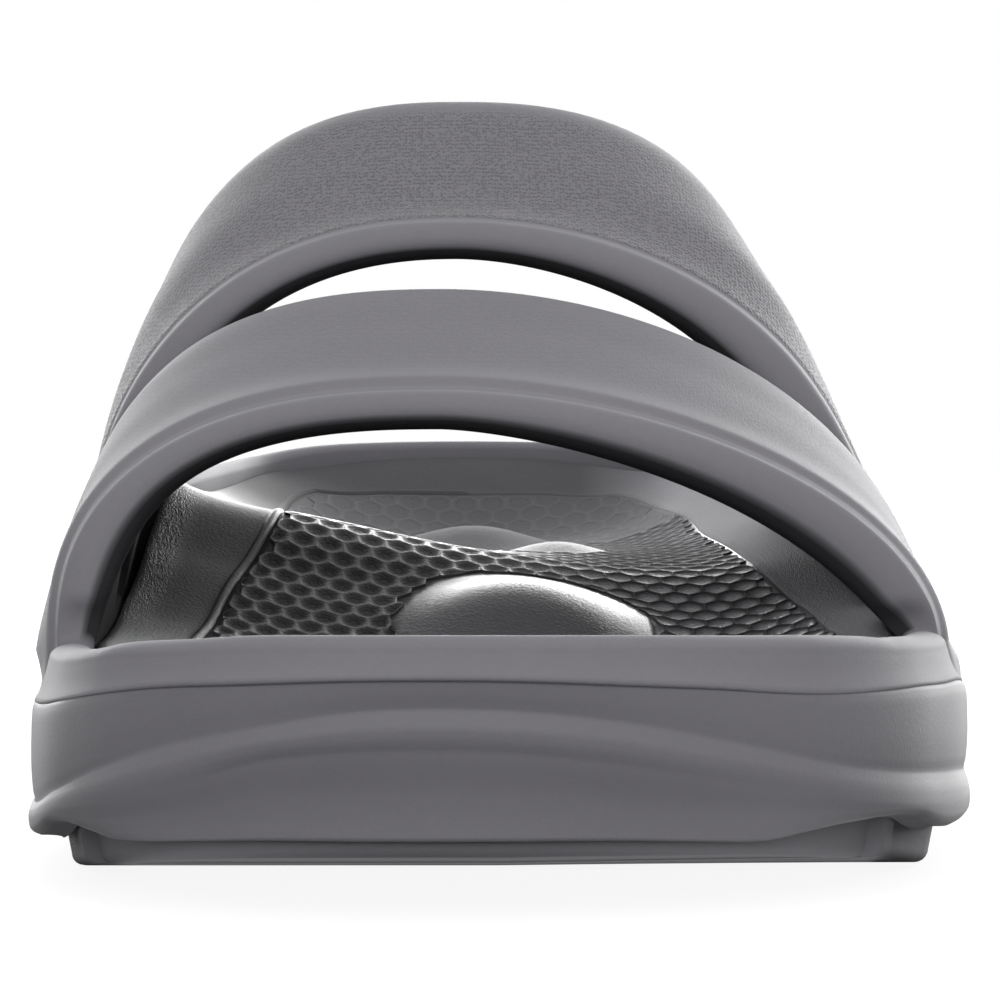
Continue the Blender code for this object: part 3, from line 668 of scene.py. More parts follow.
def build_midsole(material):
    """The ribbed lower unit: ledge, side ribs, lip with a hollow fillet under it, seat of the tread plate."""
    work = Work()
    medial, along = ring_of(even_stations(RING_STATIONS))
    cup_x, cup_t = edge_point(medial, along, WALL_INSIDE)
    ledge = line_height("step", medial, along)
    rows = [work.add(cup_x, cup_t, cup_floor(cup_x, cup_t)), work.add(cup_x, cup_t, ledge)]
    ribs = rib_rings(medial, along)
    for inset, height in ribs:
        rows.append(work.add(*edge_point(medial, along, inset), height))
    seat = OUTSOLE_INSET - SEAT_MARGIN + SEAT_TOE * (1.0 - ease(along / RIB_FADE))
    last_inset, last_height = ribs[-1]
    seat_x, seat_t = edge_point(medial, along, seat)
    drop = np.where(medial, *LIP_DROP) * ease(along / RIB_FADE)
    drop = np.minimum(drop, last_height - floor_lift(seat_x, seat_t) - LIP_LEAST)
    for share in np.linspace(0.0, 1.0, FILLET_STEPS + 1)[1:]:
        inset = blend(last_inset, seat, math.sin(share * math.pi / 2.0) ** FILLET_POWER)
        height = last_height - drop * (1.0 - math.cos(share * math.pi / 2.0))
        rows.append(work.add(*edge_point(medial, along, inset), height))
    rows.append(work.add(seat_x, seat_t, seat_height(seat_x, seat_t)))
    work.grid(rows, closed=True)
    top_x, top_t = between(cup_x, cup_t, even_shares(CUP_COLUMNS))
    work.cap(rows[0], work.add(top_x, top_t, cup_floor(top_x, top_t)))
    low_x, low_t = between(seat_x, seat_t, even_shares(SEAT_COLUMNS))
    work.cap(rows[-1], work.add(low_x, low_t, seat_height(low_x, low_t)))
    return make_piece(work, "midsole_body", "midsole", material)


def inlay_inset(medial, along):
    """Inset of the inlay's edge from the sole's outline."""
    return WALL_INSIDE + INLAY_MARGIN + by_side(INLAY_EDGE, medial, along)


def crinkle_paint(medial, along, from_edge):
    """1 on the crinkled strip along the medial edge under the straps, 0 elsewhere."""
    start, full, hold, end = CRINKLE_SPAN
    reach = ease((along - start) / (full - start)) * ease((end - along) / (end - hold))
    across = 1.0 - ease((from_edge - CRINKLE_WIDTH + CRINKLE_FADE[0]) / CRINKLE_FADE[1])
    return np.where(medial, reach * across, 0.0)


def build_footbed(material):
    """The contoured cup: wall, rounded edge, side bands, raised lip and the recess for the inlay."""
    work = Work()
    medial, along = ring_of(even_stations(RING_STATIONS))
    outer = WALL_INSIDE + SEAM
    wall_x, wall_t = edge_point(medial, along, outer)
    above = footbed_height(wall_x, wall_t) - line_height("rim", medial, along) + RIM_INSIDE
    lean = outer + EDGE_CLEAR + EDGE_LEAN * np.maximum(above, 0.0)
    roll = by_side(EDGE_ROLL, medial, along)
    band = lean + ROLL_WIDTH * roll
    lip_out = inlay_inset(medial, along) - LIP_WIDTH
    lip_in = inlay_inset(medial, along) - SEAM
    rows = [work.add(wall_x, wall_t, cup_floor(wall_x, wall_t) + SEAM)]

    def ring(inset, lift):
        x, t = edge_point(medial, along, inset)
        paint = crinkle_paint(medial, along, inset - lean)
        rows.append(work.add(x, t, footbed_height(x, t) + lift, paint))

    for turn in np.linspace(0.0, math.pi / 2.0, ROLL_ROWS):
        ring(blend(lean, band, 1.0 - math.cos(turn)), roll * (math.sin(turn) - 1.0))
    for share in np.linspace(0.0, 1.0, BAND_STEPS + 1)[1:]:
        ring(blend(band, lip_out, share), 0.0)
    for share in np.linspace(0.0, 1.0, LIP_STEPS + 1)[1:]:
        down = ease((share - LIP_DOWN[0]) / LIP_DOWN[1])
        rise = np.where(medial, *LIP_RISE) * (ease(share / LIP_UP) - down)
        ring(blend(lip_out, lip_in, share), rise)
    ring(lip_in, -INLAY_THICK - SEAM)
    work.grid(rows, closed=True)
    low_x, low_t = between(wall_x, wall_t, even_shares(CUP_COLUMNS))
    work.cap(rows[0], work.add(low_x, low_t, cup_floor(low_x, low_t) + SEAM))
    in_x, in_t = between(*edge_point(medial, along, lip_in), even_shares(RECESS_COLUMNS))
    work.cap(rows[-1], work.add(in_x, in_t, footbed_height(in_x, in_t) - INLAY_THICK - SEAM))
    return make_piece(work, "footbed_cup", "footbed", material)


def inlay_top(x, t):
    """Top of the inlay with its pads."""
    return footbed_height(x, t) + pad_height(x, t)


def smooth_reach(x, t):
    """Below 1 on the smooth tops of the pads, above 1 where the net lies."""
    reach = [far / PAD_SMOOTH for far in pad_reach(x, t)]
    (x0, t0), (x1, t1) = PAD_CUT_START, PAD_CUT_END
    cut = x0 + (x1 - x0) * (t - t0) / (t1 - t0)
    reach[0] = np.maximum(reach[0], 1.0 + (cut - x) / PADS[0][2])
    return np.min(reach, axis=0)


def on_pads(x, t):
    """1 on the smooth pads, 0 off them."""
    return 1.0 - ease((smooth_reach(x, t) - PAD_BORDER[0]) / PAD_BORDER[1])


def inside_loop(loop_x, loop_t, x, t):
    """Which points lie inside a closed plan line."""
    inside = np.zeros(np.shape(x), bool)
    for x0, t0, x1, t1 in zip(loop_x, loop_t, np.roll(loop_x, -1), np.roll(loop_t, -1)):
        if t0 == t1:
            continue
        crosses = (t0 > t) != (t1 > t)
        at = x0 + (x1 - x0) * (t - t0) / (t1 - t0)
        inside ^= crosses & (x < at)
    return inside


def net_allowed(name, loop, x, t):
    """Where the net may lie: inside the inlay, off the pads, on its own side of the split."""
    near_heel = t > NET_SPLIT + NET_SPLIT_LEAN * x
    wanted = near_heel if name == "heel" else ~near_heel
    free = smooth_reach(x, t) > NET_CLEAR
    return inside_loop(loop[0], loop[1], x, t) & free & wanted


def net_cells(name, pitch, stretch, loop):
    """Middles of the net's cells and their twelve outline points, cut back to where the net may lie."""
    radius = pitch / math.sqrt(3.0)
    rows = int(LENGTH / (1.5 * radius * stretch)) + 1
    columns = int(2.0 * NET_HALF / pitch) + 1
    row, place = np.meshgrid(np.arange(rows), np.arange(columns), indexing="ij")
    x = (pitch * (place + 0.5 * (row % 2)) - NET_HALF).ravel()
    t = (1.5 * radius * stretch * row).ravel()
    kept = net_allowed(name, loop, x, t)
    x, t = x[kept][:, None], t[kept][:, None]
    turn = np.radians(30.0 + 30.0 * np.arange(CELL_POINTS))
    reach = np.where(np.arange(CELL_POINTS) % 2 == 0, radius, pitch / 2.0)
    out_x = x + reach * np.cos(turn)
    out_t = t + stretch * reach * np.sin(turn)
    low = np.zeros(out_x.shape)
    high = np.ones(out_x.shape)
    whole = net_allowed(name, loop, out_x, out_t)
    for _ in range(CELL_HALVINGS):
        middle = (low + high) / 2.0
        fits = net_allowed(name, loop, blend(x, out_x, middle), blend(t, out_t, middle))
        low = np.where(fits, middle, low)
        high = np.where(fits, high, middle)
    share = np.where(whole, 1.0, low)
    return x, t, blend(x, out_x, share), blend(t, out_t, share), whole


def add_net(work, name, pitch, stretch, width, height, loop):
    """One closed raised net: ridges round every cell, their underside sunk in the inlay."""
    x, t, out_x, out_t, whole = net_cells(name, pitch, stretch, loop)
    keys = np.round(np.stack([out_x, out_t], axis=-1).reshape(-1, 2), 3)
    places, number = np.unique(keys, axis=0, return_inverse=True)
    number = np.ravel(number)
    first = np.zeros(len(places), int)
    first[number[::-1]] = np.arange(len(number))[::-1]
    rise = np.where(whole.ravel()[first], height, CUT_RISE)
    px, pt = places[:, 0], places[:, 1]
    crest = work.add(px, pt, inlay_top(px, pt) + rise, 1.0)[number].reshape(out_x.shape)
    under = work.add(px, pt, inlay_top(px, pt) - NET_SUNK, 0.0)[number].reshape(out_x.shape)
    corner = np.arange(CELL_POINTS) % 2 == 0
    rings = [crest]
    for share, lift, paint in NET_RIDGE:
        cut = np.where(corner, CORNER_CUT, 1.0) * share * width
        size = np.hypot(out_x - x, out_t - t)
        keep = np.clip(1.0 - cut / np.maximum(size, 0.01), CELL_KEPT, 1.0)
        in_x, in_t = blend(x, out_x, keep), blend(t, out_t, keep)
        rings.append(work.add(in_x, in_t, inlay_top(in_x, in_t) + lift * height, paint))
    rings.append(under)
    for outer, inner in zip(rings, rings[1:]):
        after_outer = np.roll(outer, -1, axis=1)
        after_inner = np.roll(inner, -1, axis=1)
        quads = np.stack([outer, after_outer, after_inner, inner], axis=-1).reshape(-1, 4)
        work.faces += quads.tolist()
    a = crest.ravel()
    b = np.roll(crest, -1, axis=1).ravel()
    low_a = under.ravel()
    low_b = np.roll(under, -1, axis=1).ravel()
    edge_keys = np.sort(np.stack([a, b], axis=-1), axis=1)
    _, which, uses = np.unique(edge_keys, axis=0, return_inverse=True, return_counts=True)
    alone = (uses[np.ravel(which)] == 1) & (a != b)
    work.faces += np.stack([b, a, low_a, low_b], axis=-1)[alone].tolist()


def build_inlay(material):
    """The textured inlay: smooth base with its pads, and the raised net."""
    work = Work()
    medial, along = ring_of(even_stations(RING_STATIONS))
    inset = inlay_inset(medial, along)
    x, t = edge_point(medial, along, inset)
    base = footbed_height(x, t)
    rows = [work.add(x, t, base - INLAY_THICK), work.add(x, t, base - INLAY_SHOULDER), work.add(x, t, base)]
    work.grid(rows, closed=True)
    low_x, low_t = between(x, t, even_shares(RECESS_COLUMNS))
    work.cap(rows[0], work.add(low_x, low_t, footbed_height(low_x, low_t) - INLAY_THICK))
    top_x, top_t = between(x, t, even_shares(INLAY_COLUMNS))
    work.cap(rows[-1], work.add(top_x, top_t, inlay_top(top_x, top_t), PAD_PAINT * on_pads(top_x, top_t)))
    loop = edge_point(medial, along, inset + NET_BORDER)
    for net in NETS:
        add_net(work, *net, loop)
    return make_piece(work, "inlay_net", "insole", material)


def tread_rows():
    """Stations of the tread plate, the fine ribs and the grooves at each."""
    along = even_stations(RING_STATIONS)
    keep = np.ones(len(along), bool)
    extra = []
    for middle in TREAD_GROOVES:
        keep &= np.abs(along - middle) > TREAD_TOP / 2.0 + STATION_MARGIN
        for share, depth in GROOVE_PROFILE:
            extra.append((middle + share * TREAD_TOP / 2.0, depth * TREAD_DEPTH))
    fin = np.linspace(FIN_SPAN[0] - STATION_MARGIN, FIN_SPAN[1] + STATION_MARGIN, FIN_STATIONS)
    keep &= (along < fin[0]) | (along > fin[-1])
    fine = 0.5 - 0.5 * np.cos(2.0 * math.pi * along / SIPE_PITCH)
    from_toe = ease((along - SIPE_START) / SIPE_FADE)
    shallow = SIPE_DEPTH * fine * from_toe * ease((LENGTH - SIPE_START - along) / SIPE_FADE)
    rows = list(zip(along[keep], shallow[keep], np.zeros(keep.sum())))
    rows += [(a, 0.0, depth) for a, depth in extra]
    rows += [(a, 0.0, 0.0) for a in fin]
    rows.sort()
    table = np.array(rows)
    return table[:, 0], table[:, 1], table[:, 2]


def build_outsole(material):
    """The tread plate: fins, rounded lower corner, chevron grooves and fine ribs between them."""
    work = Work()
    stations, fine, deep = tread_rows()
    medial, along = ring_of(stations)
    side = OUTSOLE_INSET + FIN_DEPTH * read(FIN_RECESS, 1, along)
    top_x, top_t = edge_point(medial, along, side)
    rows = [work.add(top_x, top_t, floor_lift(top_x, top_t) + OUTSOLE_THICK)]
    wall = OUTSOLE_THICK - OUTSOLE_ROUND
    for share in np.linspace(0.0, 1.0, OUTSOLE_ROWS)[1:-1]:
        x, t = edge_point(medial, along, side + share * OUTSOLE_DRAFT)
        rows.append(work.add(x, t, floor_lift(x, t) + OUTSOLE_ROUND + (1.0 - share) * wall))
    for turn in np.linspace(0.0, math.pi / 2.0, OUTSOLE_ROWS):
        inset = side + OUTSOLE_DRAFT + OUTSOLE_ROUND * (1.0 - math.cos(turn))
        x, t = edge_point(medial, along, inset)
        rows.append(work.add(x, t, floor_lift(x, t) + OUTSOLE_ROUND * (1.0 - math.sin(turn))))
    work.grid(rows, closed=True)
    roof_x, roof_t = between(top_x, top_t, even_shares(SEAT_COLUMNS))
    work.cap(rows[0], work.add(roof_x, roof_t, floor_lift(roof_x, roof_t) + OUTSOLE_THICK))
    ends = np.array(MARGIN_STEPS) * TREAD_MARGIN
    middle = np.linspace(TREAD_MARGIN, 1.0 - TREAD_MARGIN, TREAD_COLUMNS)[1:-1]
    shares = np.concatenate([ends, middle, 1.0 - ends[::-1]])
    low_x, low_t = between(x, t, shares)
    row_along = stations[1:-1][:, None]
    toe_heel = ease(row_along / TREAD_FADE) * ease((LENGTH - row_along) / TREAD_FADE)
    low_t = low_t - TREAD_POINT * toe_heel * (1.0 - np.abs(2.0 * shares - 1.0))
    inside = np.minimum(shares, 1.0 - shares)
    cut = ease((inside - ends[0]) / (TREAD_MARGIN - ends[0]))
    low_z = floor_lift(low_x, low_t) + deep[1:-1][:, None] * cut
    low_z = low_z + fine[1:-1][:, None] * ease(inside / SIPE_MARGIN)
    work.cap(rows[-1], work.add(low_x, low_t, low_z))
    return make_piece(work, "outsole_tread", "outsole", material)


def strap_shares():
    """Columns across a strap, closer together at the hem and at the back edge."""
    return np.concatenate([[0.0]] + [np.linspace(*part)[1:] for part in STRAP_COLUMNS])


def strap_feet(strap):
    """Medial foot, crown and lateral foot of every column of a strap."""
    front, back = [row[2:] for row in STRAP_EDGES if row[0] == strap]
    shares = strap_shares()
    return [blend(a, b, shares) for a, b in zip(front, back)]


def rim_stations(foot):
    """Stations of one side of the upper, the strap's share and lift at each, and each strap's span."""
    edges = [row[foot] for row in STRAP_EDGES]
    back_start, back_width, back_share = BACK_SPREAD
    shares = strap_shares()
    spread = ease(shares / BASE_SPREAD) * (1.0 - back_share * ease((shares - back_start) / back_width))
    gap = np.linspace(edges[1], edges[2], GAP_STATIONS)[1:-1]
    toe = even_stations(TOE_STATIONS, 0.0, edges[0])[:-1]
    heel = even_stations(HEEL_STATIONS, edges[3], LENGTH)[1:]
    along = [toe]
    strap_on = [np.zeros(len(toe))]
    lift = [np.zeros(len(toe))]
    spans = {}
    for strap in ("front", "rear"):
        start = sum(len(part) for part in along)
        spans[strap] = (start, start + len(shares) - 1)
        along.append(strap_feet(strap)[foot - 2])
        strap_on.append(spread)
        lift.append(read(STRAP_PROFILE[strap], 1, shares))
        following = gap if strap == "front" else heel
        along.append(following)
        strap_on.append(np.zeros(len(following)))
        lift.append(np.zeros(len(following)))
    return np.concatenate(along), np.concatenate(strap_on), np.concatenate(lift), spans


def wall_places(medial, along, strap_on, lift):
    """Outer face, rounded top and inner face of the wall at every station, as (x, t, z) rows."""
    base = line_height("step", medial, along) + SEAM
    top = line_height("rim", medial, along)
    shoulder = top - TOP_ROUND
    at_toe = 1.0 - ease(along / RIB_FADE)
    side = 2 if medial else 3
    foot = blend(WALL_LEVELS[0][1], WALL_LEVELS[0][side], strap_on)
    outer = []
    for inset, drop in HANG:
        x, t = edge_point(medial, along, foot + inset)
        outer.append(np.stack([x, t, base - drop * at_toe], axis=-1))
    for rise in np.linspace(0.0, 1.0, WALL_STEPS):
        on_rim = float(read(WALL_LEVELS, 1, rise))
        on_strap = float(read(WALL_LEVELS, side, rise))
        inset = blend(on_rim, on_strap, strap_on)
        x, t = edge_point(medial, along, inset - lift * rise)
        outer.append(np.stack([x, t, blend(base, shoulder, rise)], axis=-1))
    x, t = edge_point(medial, along, WALL_INSIDE)
    inner = []
    for share in np.linspace(1.0, 0.0, INNER_STEPS):
        inner.append(np.stack([x, t, blend(base, top - RIM_INSIDE, share)], axis=-1))
    up = np.zeros((len(along), 3))
    up[:, 2] = 1.0
    crest = rounded(outer[-1], inner[0], up)
    return outer, crest, inner


def round_shares():
    """How far each row of a rounded edge is from its outer to its inner side, and how far it swells."""
    turns = np.linspace(0.0, math.pi, ROUND_STEPS + 1)[1:-1]
    return list(zip((1.0 - np.cos(turns)) / 2.0, np.sin(turns)))


def rounded(outer, inner, swell, size=(TOP_ROUND + RIM_INSIDE) / 2.0):
    """Rows of points from an outer to an inner edge, swelling half round between them."""
    return [blend(outer, inner, share) + swell * size * rise for share, rise in round_shares()]


def arch_grid(strap, skin, medial, lateral, crown_t, crown_z):
    """Points of a strap's skin: a row for each column of the strap, from the medial to the lateral foot."""
    spread = ease(strap_shares() / ARCH_SPREAD)[:, None]
    toe_side, panel = ARCH[(strap, skin, "toe side")], ARCH[(strap, skin, "panel")]
    values = [blend(a, b, spread) for a, b in zip(toe_side, panel)]
    offset, medial_power, lateral_power, medial_pinch, lateral_pinch = values
    turn = np.linspace(0.0, math.pi, ARCH_STEPS + 1)
    on_medial = turn <= math.pi / 2.0
    power = np.where(on_medial, medial_power, lateral_power)
    pinch = np.where(on_medial, -medial_pinch, lateral_pinch)
    up = np.clip(np.sin(turn), 0.0, 1.0)
    out = np.abs(np.cos(turn))
    foot = np.where(on_medial[None, :, None], medial[:, None, :], lateral[:, None, :])
    x = blend(offset, foot[..., 0], out ** (2.0 / power))
    x = x - pinch * PINCH_SCALE * up * (1.0 - up) ** 2
    t = blend(foot[..., 1], crown_t[:, None], up)
    z = blend(foot[..., 2], crown_z[:, None], up ** (2.0 / power))
    return np.stack([x, t, z], axis=-1)


def add_strap_edge(work, strap, outer, inner, outer_places, inner_places, crests, facing, shaded_inside):
    """Rounded edge between the outer and inner skin, ending in the rounded top of the rim; its inner half is
    painted dark, as shade.
    """
    start, full = INSIDE_SHADE_SHARE[strap]
    height = np.minimum(outer_places[:, 2] - outer_places[0, 2], outer_places[:, 2] - outer_places[-1, 2])
    turned = ease(height / EDGE_TURN_UP)
    swell = np.zeros(outer_places.shape)
    swell[:, 1] = facing * turned
    swell[:, 2] = 1.0 - turned
    rows = [outer]
    size = (TOP_ROUND + RIM_INSIDE) / 2.0 + (STRAP_ROUND - TOP_ROUND) * turned[:, None]
    size = size + HEM_ROLL[facing] * ease(height / HEM_RISE)[:, None]
    for number, places in enumerate(rounded(outer_places, inner_places, swell, size)):
        # Painted shade: the inner half of the edge is painted dark, near the feet only where the edge is
        # shaded down to them
        inside_shade = ease((round_shares()[number][0] - start) / (full - start))
        middle = work.add(*places[1:-1].T, -inside_shade * np.maximum(turned[1:-1], shaded_inside))
        rows.append(np.concatenate([[crests[0][number]], middle, [crests[1][number]]]))
    rows.append(inner)
    work.grid(rows)


def add_strap(work, strap, span, walls, numbers):
    """One strap: outer and inner skin and both rounded edges."""
    first, last = span
    columns = slice(first, last + 1)
    shares = strap_shares()
    crown_t = strap_feet(strap)[1]
    plain = read(CROWNS[strap], 1, crown_t)
    lift = read(STRAP_PROFILE[strap], 1, shares)
    grain = np.interp(shares, *column(STRAP_PROFILE[strap], 2))
    outer_feet = [walls[side][0][-1][columns] for side in (0, 1)]
    inner_feet = [walls[side][2][0][columns] for side in (0, 1)]
    outer_places = arch_grid(strap, "outer", *outer_feet, crown_t, plain + lift)
    inner_places = arch_grid(strap, "inner", *inner_feet, crown_t, plain - WALL[strap])
    near_foot = ease(np.minimum(np.arange(ARCH_STEPS + 1), np.arange(ARCH_STEPS, -1, -1)) / FOOT_FADE)
    # Paint on the outer skin: strength of the grain and of the painted shade in its pits, fading out at the
    # feet
    paint = grain[:, None] * near_foot[None, :]
    # Painted shade: the whole inner skin is painted dark
    inside_shade = np.full(paint.shape, -1.0)
    grids = []
    for places, layer, row, painted in ((outer_places, 0, -1, paint), (inner_places, 2, 0, inside_shade)):
        middle = work.add(*np.moveaxis(places[:, 1:-1], -1, 0), painted[:, 1:-1])
        near = numbers[0][layer][row][columns][:, None]
        far = numbers[1][layer][row][columns][:, None]
        grid = np.concatenate([near, middle, far], axis=1)
        work.grid(grid)
        grids.append(grid)
    for column_number, station, facing in ((0, first, -1.0), (-1, last, 1.0)):
        crests = [[row[station] for row in numbers[side][1]] for side in (0, 1)]
        add_strap_edge(work, strap, grids[0][column_number], grids[1][column_number],
                       outer_places[column_number], inner_places[column_number], crests, facing,
                       float((strap, facing) in EDGES_SHADED_TO_FOOT))


def build_upper(material):
    """Rim band and both straps in one hollow piece, open underneath."""
    work = Work()
    walls = []
    numbers = []
    for medial, foot in ((True, 2), (False, 4)):
        along, strap_on, lift, spans = rim_stations(foot)
        layers = wall_places(medial, along, strap_on, lift)
        walls.append(layers)
        # Painted shade: the inner face of the wall is painted dark along the straps, and the inner half of
        # the rim's crest between them
        shaded_inside = -ease((along - SHADED_WALL[0]) / WALL_FADE[0]) * ease((SHADED_WALL[1] - along) / WALL_FADE[1])
        plain = np.zeros(len(along))
        inside = ease((along - SHADED_GAP[0]) / GAP_FADE) * ease((SHADED_GAP[1] - along) / GAP_FADE)
        crest_shade = [-inside * ease((share - TURNED_IN[0]) / TURNED_IN[1]) for share, _ in round_shares()]
        paints = ([plain] * len(layers[0]), crest_shade, [shaded_inside] * len(layers[2]))
        found = []
        for layer, painted in zip(layers, paints):
            found.append([work.add(*row.T, paint) for row, paint in zip(layer, painted)])
        numbers.append(found)
    for layer in range(3):
        for near, far in zip(numbers[0][layer], numbers[1][layer]):
            far[0] = near[0]
            far[-1] = near[-1]
    bare = np.ones(len(along) - 1, bool)
    for first, last in spans.values():
        bare[first:last] = False
    for outer, crest, inner in numbers:
        work.grid(np.stack(inner + outer))
        rows = np.stack([outer[-1]] + crest + [inner[0]])
        for start, end in runs(bare):
            work.grid(rows[:, start:end + 1])
    for strap, span in spans.items():
        add_strap(work, strap, span, walls, numbers)
    drop_unused(work)
    return make_piece(work, "upper_skin", "upper", material)


def runs(flags):
    """Start and end of each stretch of true flags."""
    marks = np.flatnonzero(np.diff(np.concatenate([[0], flags.astype(int), [0]])))
    return list(zip(marks[::2], marks[1::2]))


def drop_unused(work):
    """Leave out points that no face uses."""
    points = np.concatenate(work.points)
    paint = np.concatenate(work.paint)
    used = np.zeros(len(points), bool)
    for face in work.faces:
        used[face] = True
    new = np.cumsum(used) - 1
    work.points = [points[used]]
    work.paint = [paint[used]]
    work.faces = [[int(new[i]) for i in face] for face in work.faces]


# Looks
FOAMS = {
    # name: dark grey, light grey, roughness, scale of the skin, depth of the skin in metres, specular level
    "foam_upper": (0.167, 0.186, 0.68, 2600.0, 0.00004, 0.18),
    # dark, matte foam for the faces painted wholly with inside shade
    "inside_shade_dark": (0.024, 0.032, 0.90, 1800.0, 0.00006, 0.05),
    "foam_midsole": (0.160, 0.177, 0.60, 2200.0, 0.00004, 0.28),
    "rubber_outsole": (0.150, 0.166, 0.65, 1500.0, 0.00006, 0.3),
    # The footbed and the inlay are much darker than the upper: partly their own tone, partly painted shade of
    # the shoe's inside
    "foam_footbed": (0.060, 0.074, 0.55, 2300.0, 0.00010, 0.44),
    "foam_inlay": (0.024, 0.032, 0.40, 2100.0, 0.00012, 0.55),
}
GREYS = {
    # painted shade in the pits of the strap grain
    "pit": 0.05,
    # painted shade on the inside of the upper
    "inside_shade": 0.028,
    # painted light on the footbed's lateral band
    "lateral band": 0.250,
    # painted light and shade on the inlay: lighter ridges over dark cells, on the lateral side light cells as
    # a painted reflection between dark ridges as painted shade, lighter heel and pads
    "ridge": 0.064,
    "lateral ridge": 0.016,
    "heel ridge": 0.090,
    "lateral cell": 0.290,
    "heel cell": 0.072,
    "pad": 0.125,
}
TINT = 0.029
SHEEN = (0.15, 0.30)
# Paint below which a face is wholly painted with inside shade
FULL_INSIDE_SHADE = -0.99

# Noise in every foam
CLOUDS = 28.0
SPECKS = 900.0
NOISE_RANGE = (0.3, 0.7)
CLOUD_SHARE = 0.7
SPECK_SHARE = 0.3
ROUGH_SWING = 0.05

# Grain of the straps and crinkles of the footbed: scale along each axis, sizes in metres
PEBBLES = (2450.0, 1050.0, 1700.0)
PIT_RANGE = (0.22, 0.62)
# Strength of the painted shade in the grain's pits
PIT_SHADE = 0.55
GRAIN_STRENGTH = 0.9
GRAIN_DEPTH = 0.00010
CRINKLES = (2600.0, 800.0, 1300.0)
CRINKLE_DEPTH = 0.0004
LATERAL_CRINKLE = 0.7

# Where a look changes, in metres along an axis of the piece, and the roughness on both sides; some of these
# spans also switch the painted light and shade of the footbed and the inlay
HEEL_MATTE = (0.060, 0.098)
INLAY_HEEL_SPAN = (0.022, 0.075)
PAD_MATTE = (0.0, 0.02)
LATERAL_BAND_SPAN = (0.012, 0.028)
LATERAL_LIGHT_AND_GLOSS = (-0.006, 0.016)
FOOTBED_ROUGH = (0.46, 0.80)
RIDGE_ROUGH = (0.30, 0.80)
CELL_ROUGH = (0.60, 0.38)
HEEL_ROUGH = 0.80
PAD_ROUGH = 0.50

# Floor, surroundings and lights, in metres and watts
FLOOR_REACH = 6.0
FLOOR_LEVEL = -0.0001
FLOOR_GREYS = (0.18, 0.20)
FLOOR_ROUGH = 0.9
FLOOR_GLOW = (0.03, 0.6)
FLOOR_SHOWN = (0.90, 1.0)
FLOOR_SPAN = (0.15, 0.8)
WHITE = (1.0, 1.0, 1.0, 1.0)
SURROUNDINGS = (
    # axis of the look, strength from and to, place from and to
    ("Y", 0.73, 1.2, -0.1, 0.6),
    ("Z", 1.0, 0.7, 0.2, 0.9),
    ("X", 0.88, 1.06, -0.8, 0.8),
)
MIDDLE = (0.0, 0.0, 0.03)
LIGHTS = (
    # name, place, target, size, power
    ("above", (0.0, 0.05, 1.1), MIDDLE, (1.2, 1.2), 2.1),
    ("behind", (0.14, 1.0, 0.24), MIDDLE, (1.6, 0.46), 22.0),
    ("left", (-1.0, 0.45, 0.12), MIDDLE, (0.6, 0.4), 0.7),
    ("right", (1.0, 0.55, 0.2), MIDDLE, (0.6, 0.4), 0.2),
    ("front", (0.0, -1.3, 0.55), MIDDLE, (1.2, 0.8), 8.6),
    ("under toe", (0.0, -0.105, 0.0006), (0.0, -0.105, 0.1), (0.085, 0.06), 0.008),
)


def start_material(name):
    """A new node material: its tree and its main shader."""
    material = bpy.data.materials.new(name)
    material.use_nodes = True
    return material, material.node_tree, material.node_tree.nodes["Principled BSDF"]


def add_node(tree, kind, **inputs):
    """A node with some of its sockets set."""
    node = tree.nodes.new(kind)
    for name, value in inputs.items():
        node.inputs[name.replace("_", " ")].default_value = value
    return node


def texture(tree, kind, scale, **inputs):
    """A texture laid out in the object's own space."""
    place = tree.nodes.new("ShaderNodeTexCoord")
    node = add_node(tree, kind, Scale=scale, **inputs)
    tree.links.new(place.outputs["Object"], node.inputs["Vector"])
    return node


def math_node(tree, operation, a, b):
    """A sum, product or the like of two sockets or numbers."""
    node = tree.nodes.new("ShaderNodeMath")
    node.operation = operation
    for socket, value in zip(node.inputs, (a, b)):
        if isinstance(value, (int, float)):
            socket.default_value = value
        else:
            tree.links.new(value, socket)
    return node.outputs[0]


def times(tree, a, b):
    """The product of two sockets or numbers."""
    return math_node(tree, "MULTIPLY", a, b)


def most(tree, a, b):
    """The larger of two sockets or numbers."""
    return math_node(tree, "MAXIMUM", a, b)


def rest(tree, share):
    """What is left of a whole."""
    return math_node(tree, "SUBTRACT", 1.0, share)


def ramp(tree, source, low, high, from_low=0.0, from_high=1.0):
    """Stretch a value from one range to another."""
    node = add_node(tree, "ShaderNodeMapRange")
    node.inputs["From Min"].default_value = from_low
    node.inputs["From Max"].default_value = from_high
    node.inputs["To Min"].default_value = low
    node.inputs["To Max"].default_value = high
    tree.links.new(source, node.inputs["Value"])
    return node.outputs["Result"]


def mix_colour(tree, share, dark, light):
    """A colour between two, each a plain colour or a socket."""
    node = tree.nodes.new("ShaderNodeMix")
    node.data_type = "RGBA"
    tree.links.new(share, node.inputs["Factor"])
    for socket, value in ((node.inputs[6], dark), (node.inputs[7], light)):
        if isinstance(value, tuple):
            socket.default_value = value
        else:
            tree.links.new(value, socket)
    return node.outputs[2]


def bump(tree, height, strength, distance, under=None):
    """A bump from a height, over another bump if there is one."""
    node = add_node(tree, "ShaderNodeBump", Strength=strength, Distance=distance)
    tree.links.new(height, node.inputs["Height"])
    if under is not None:
        tree.links.new(under, node.inputs["Normal"])
    return node.outputs["Normal"]


def paint_value(tree):
    """The value painted on the points of the piece."""
    node = tree.nodes.new("ShaderNodeAttribute")
    node.attribute_name = "paint"
    return node.outputs["Fac"]


def grey(value, tint=TINT):
    """A slightly violet grey."""
    return (value, value * (1.0 - tint), value * (1.0 + 2.0 * tint), 1.0)


def named_grey(name):
    """One of the greys of the parts of a piece."""
    return grey(GREYS[name])


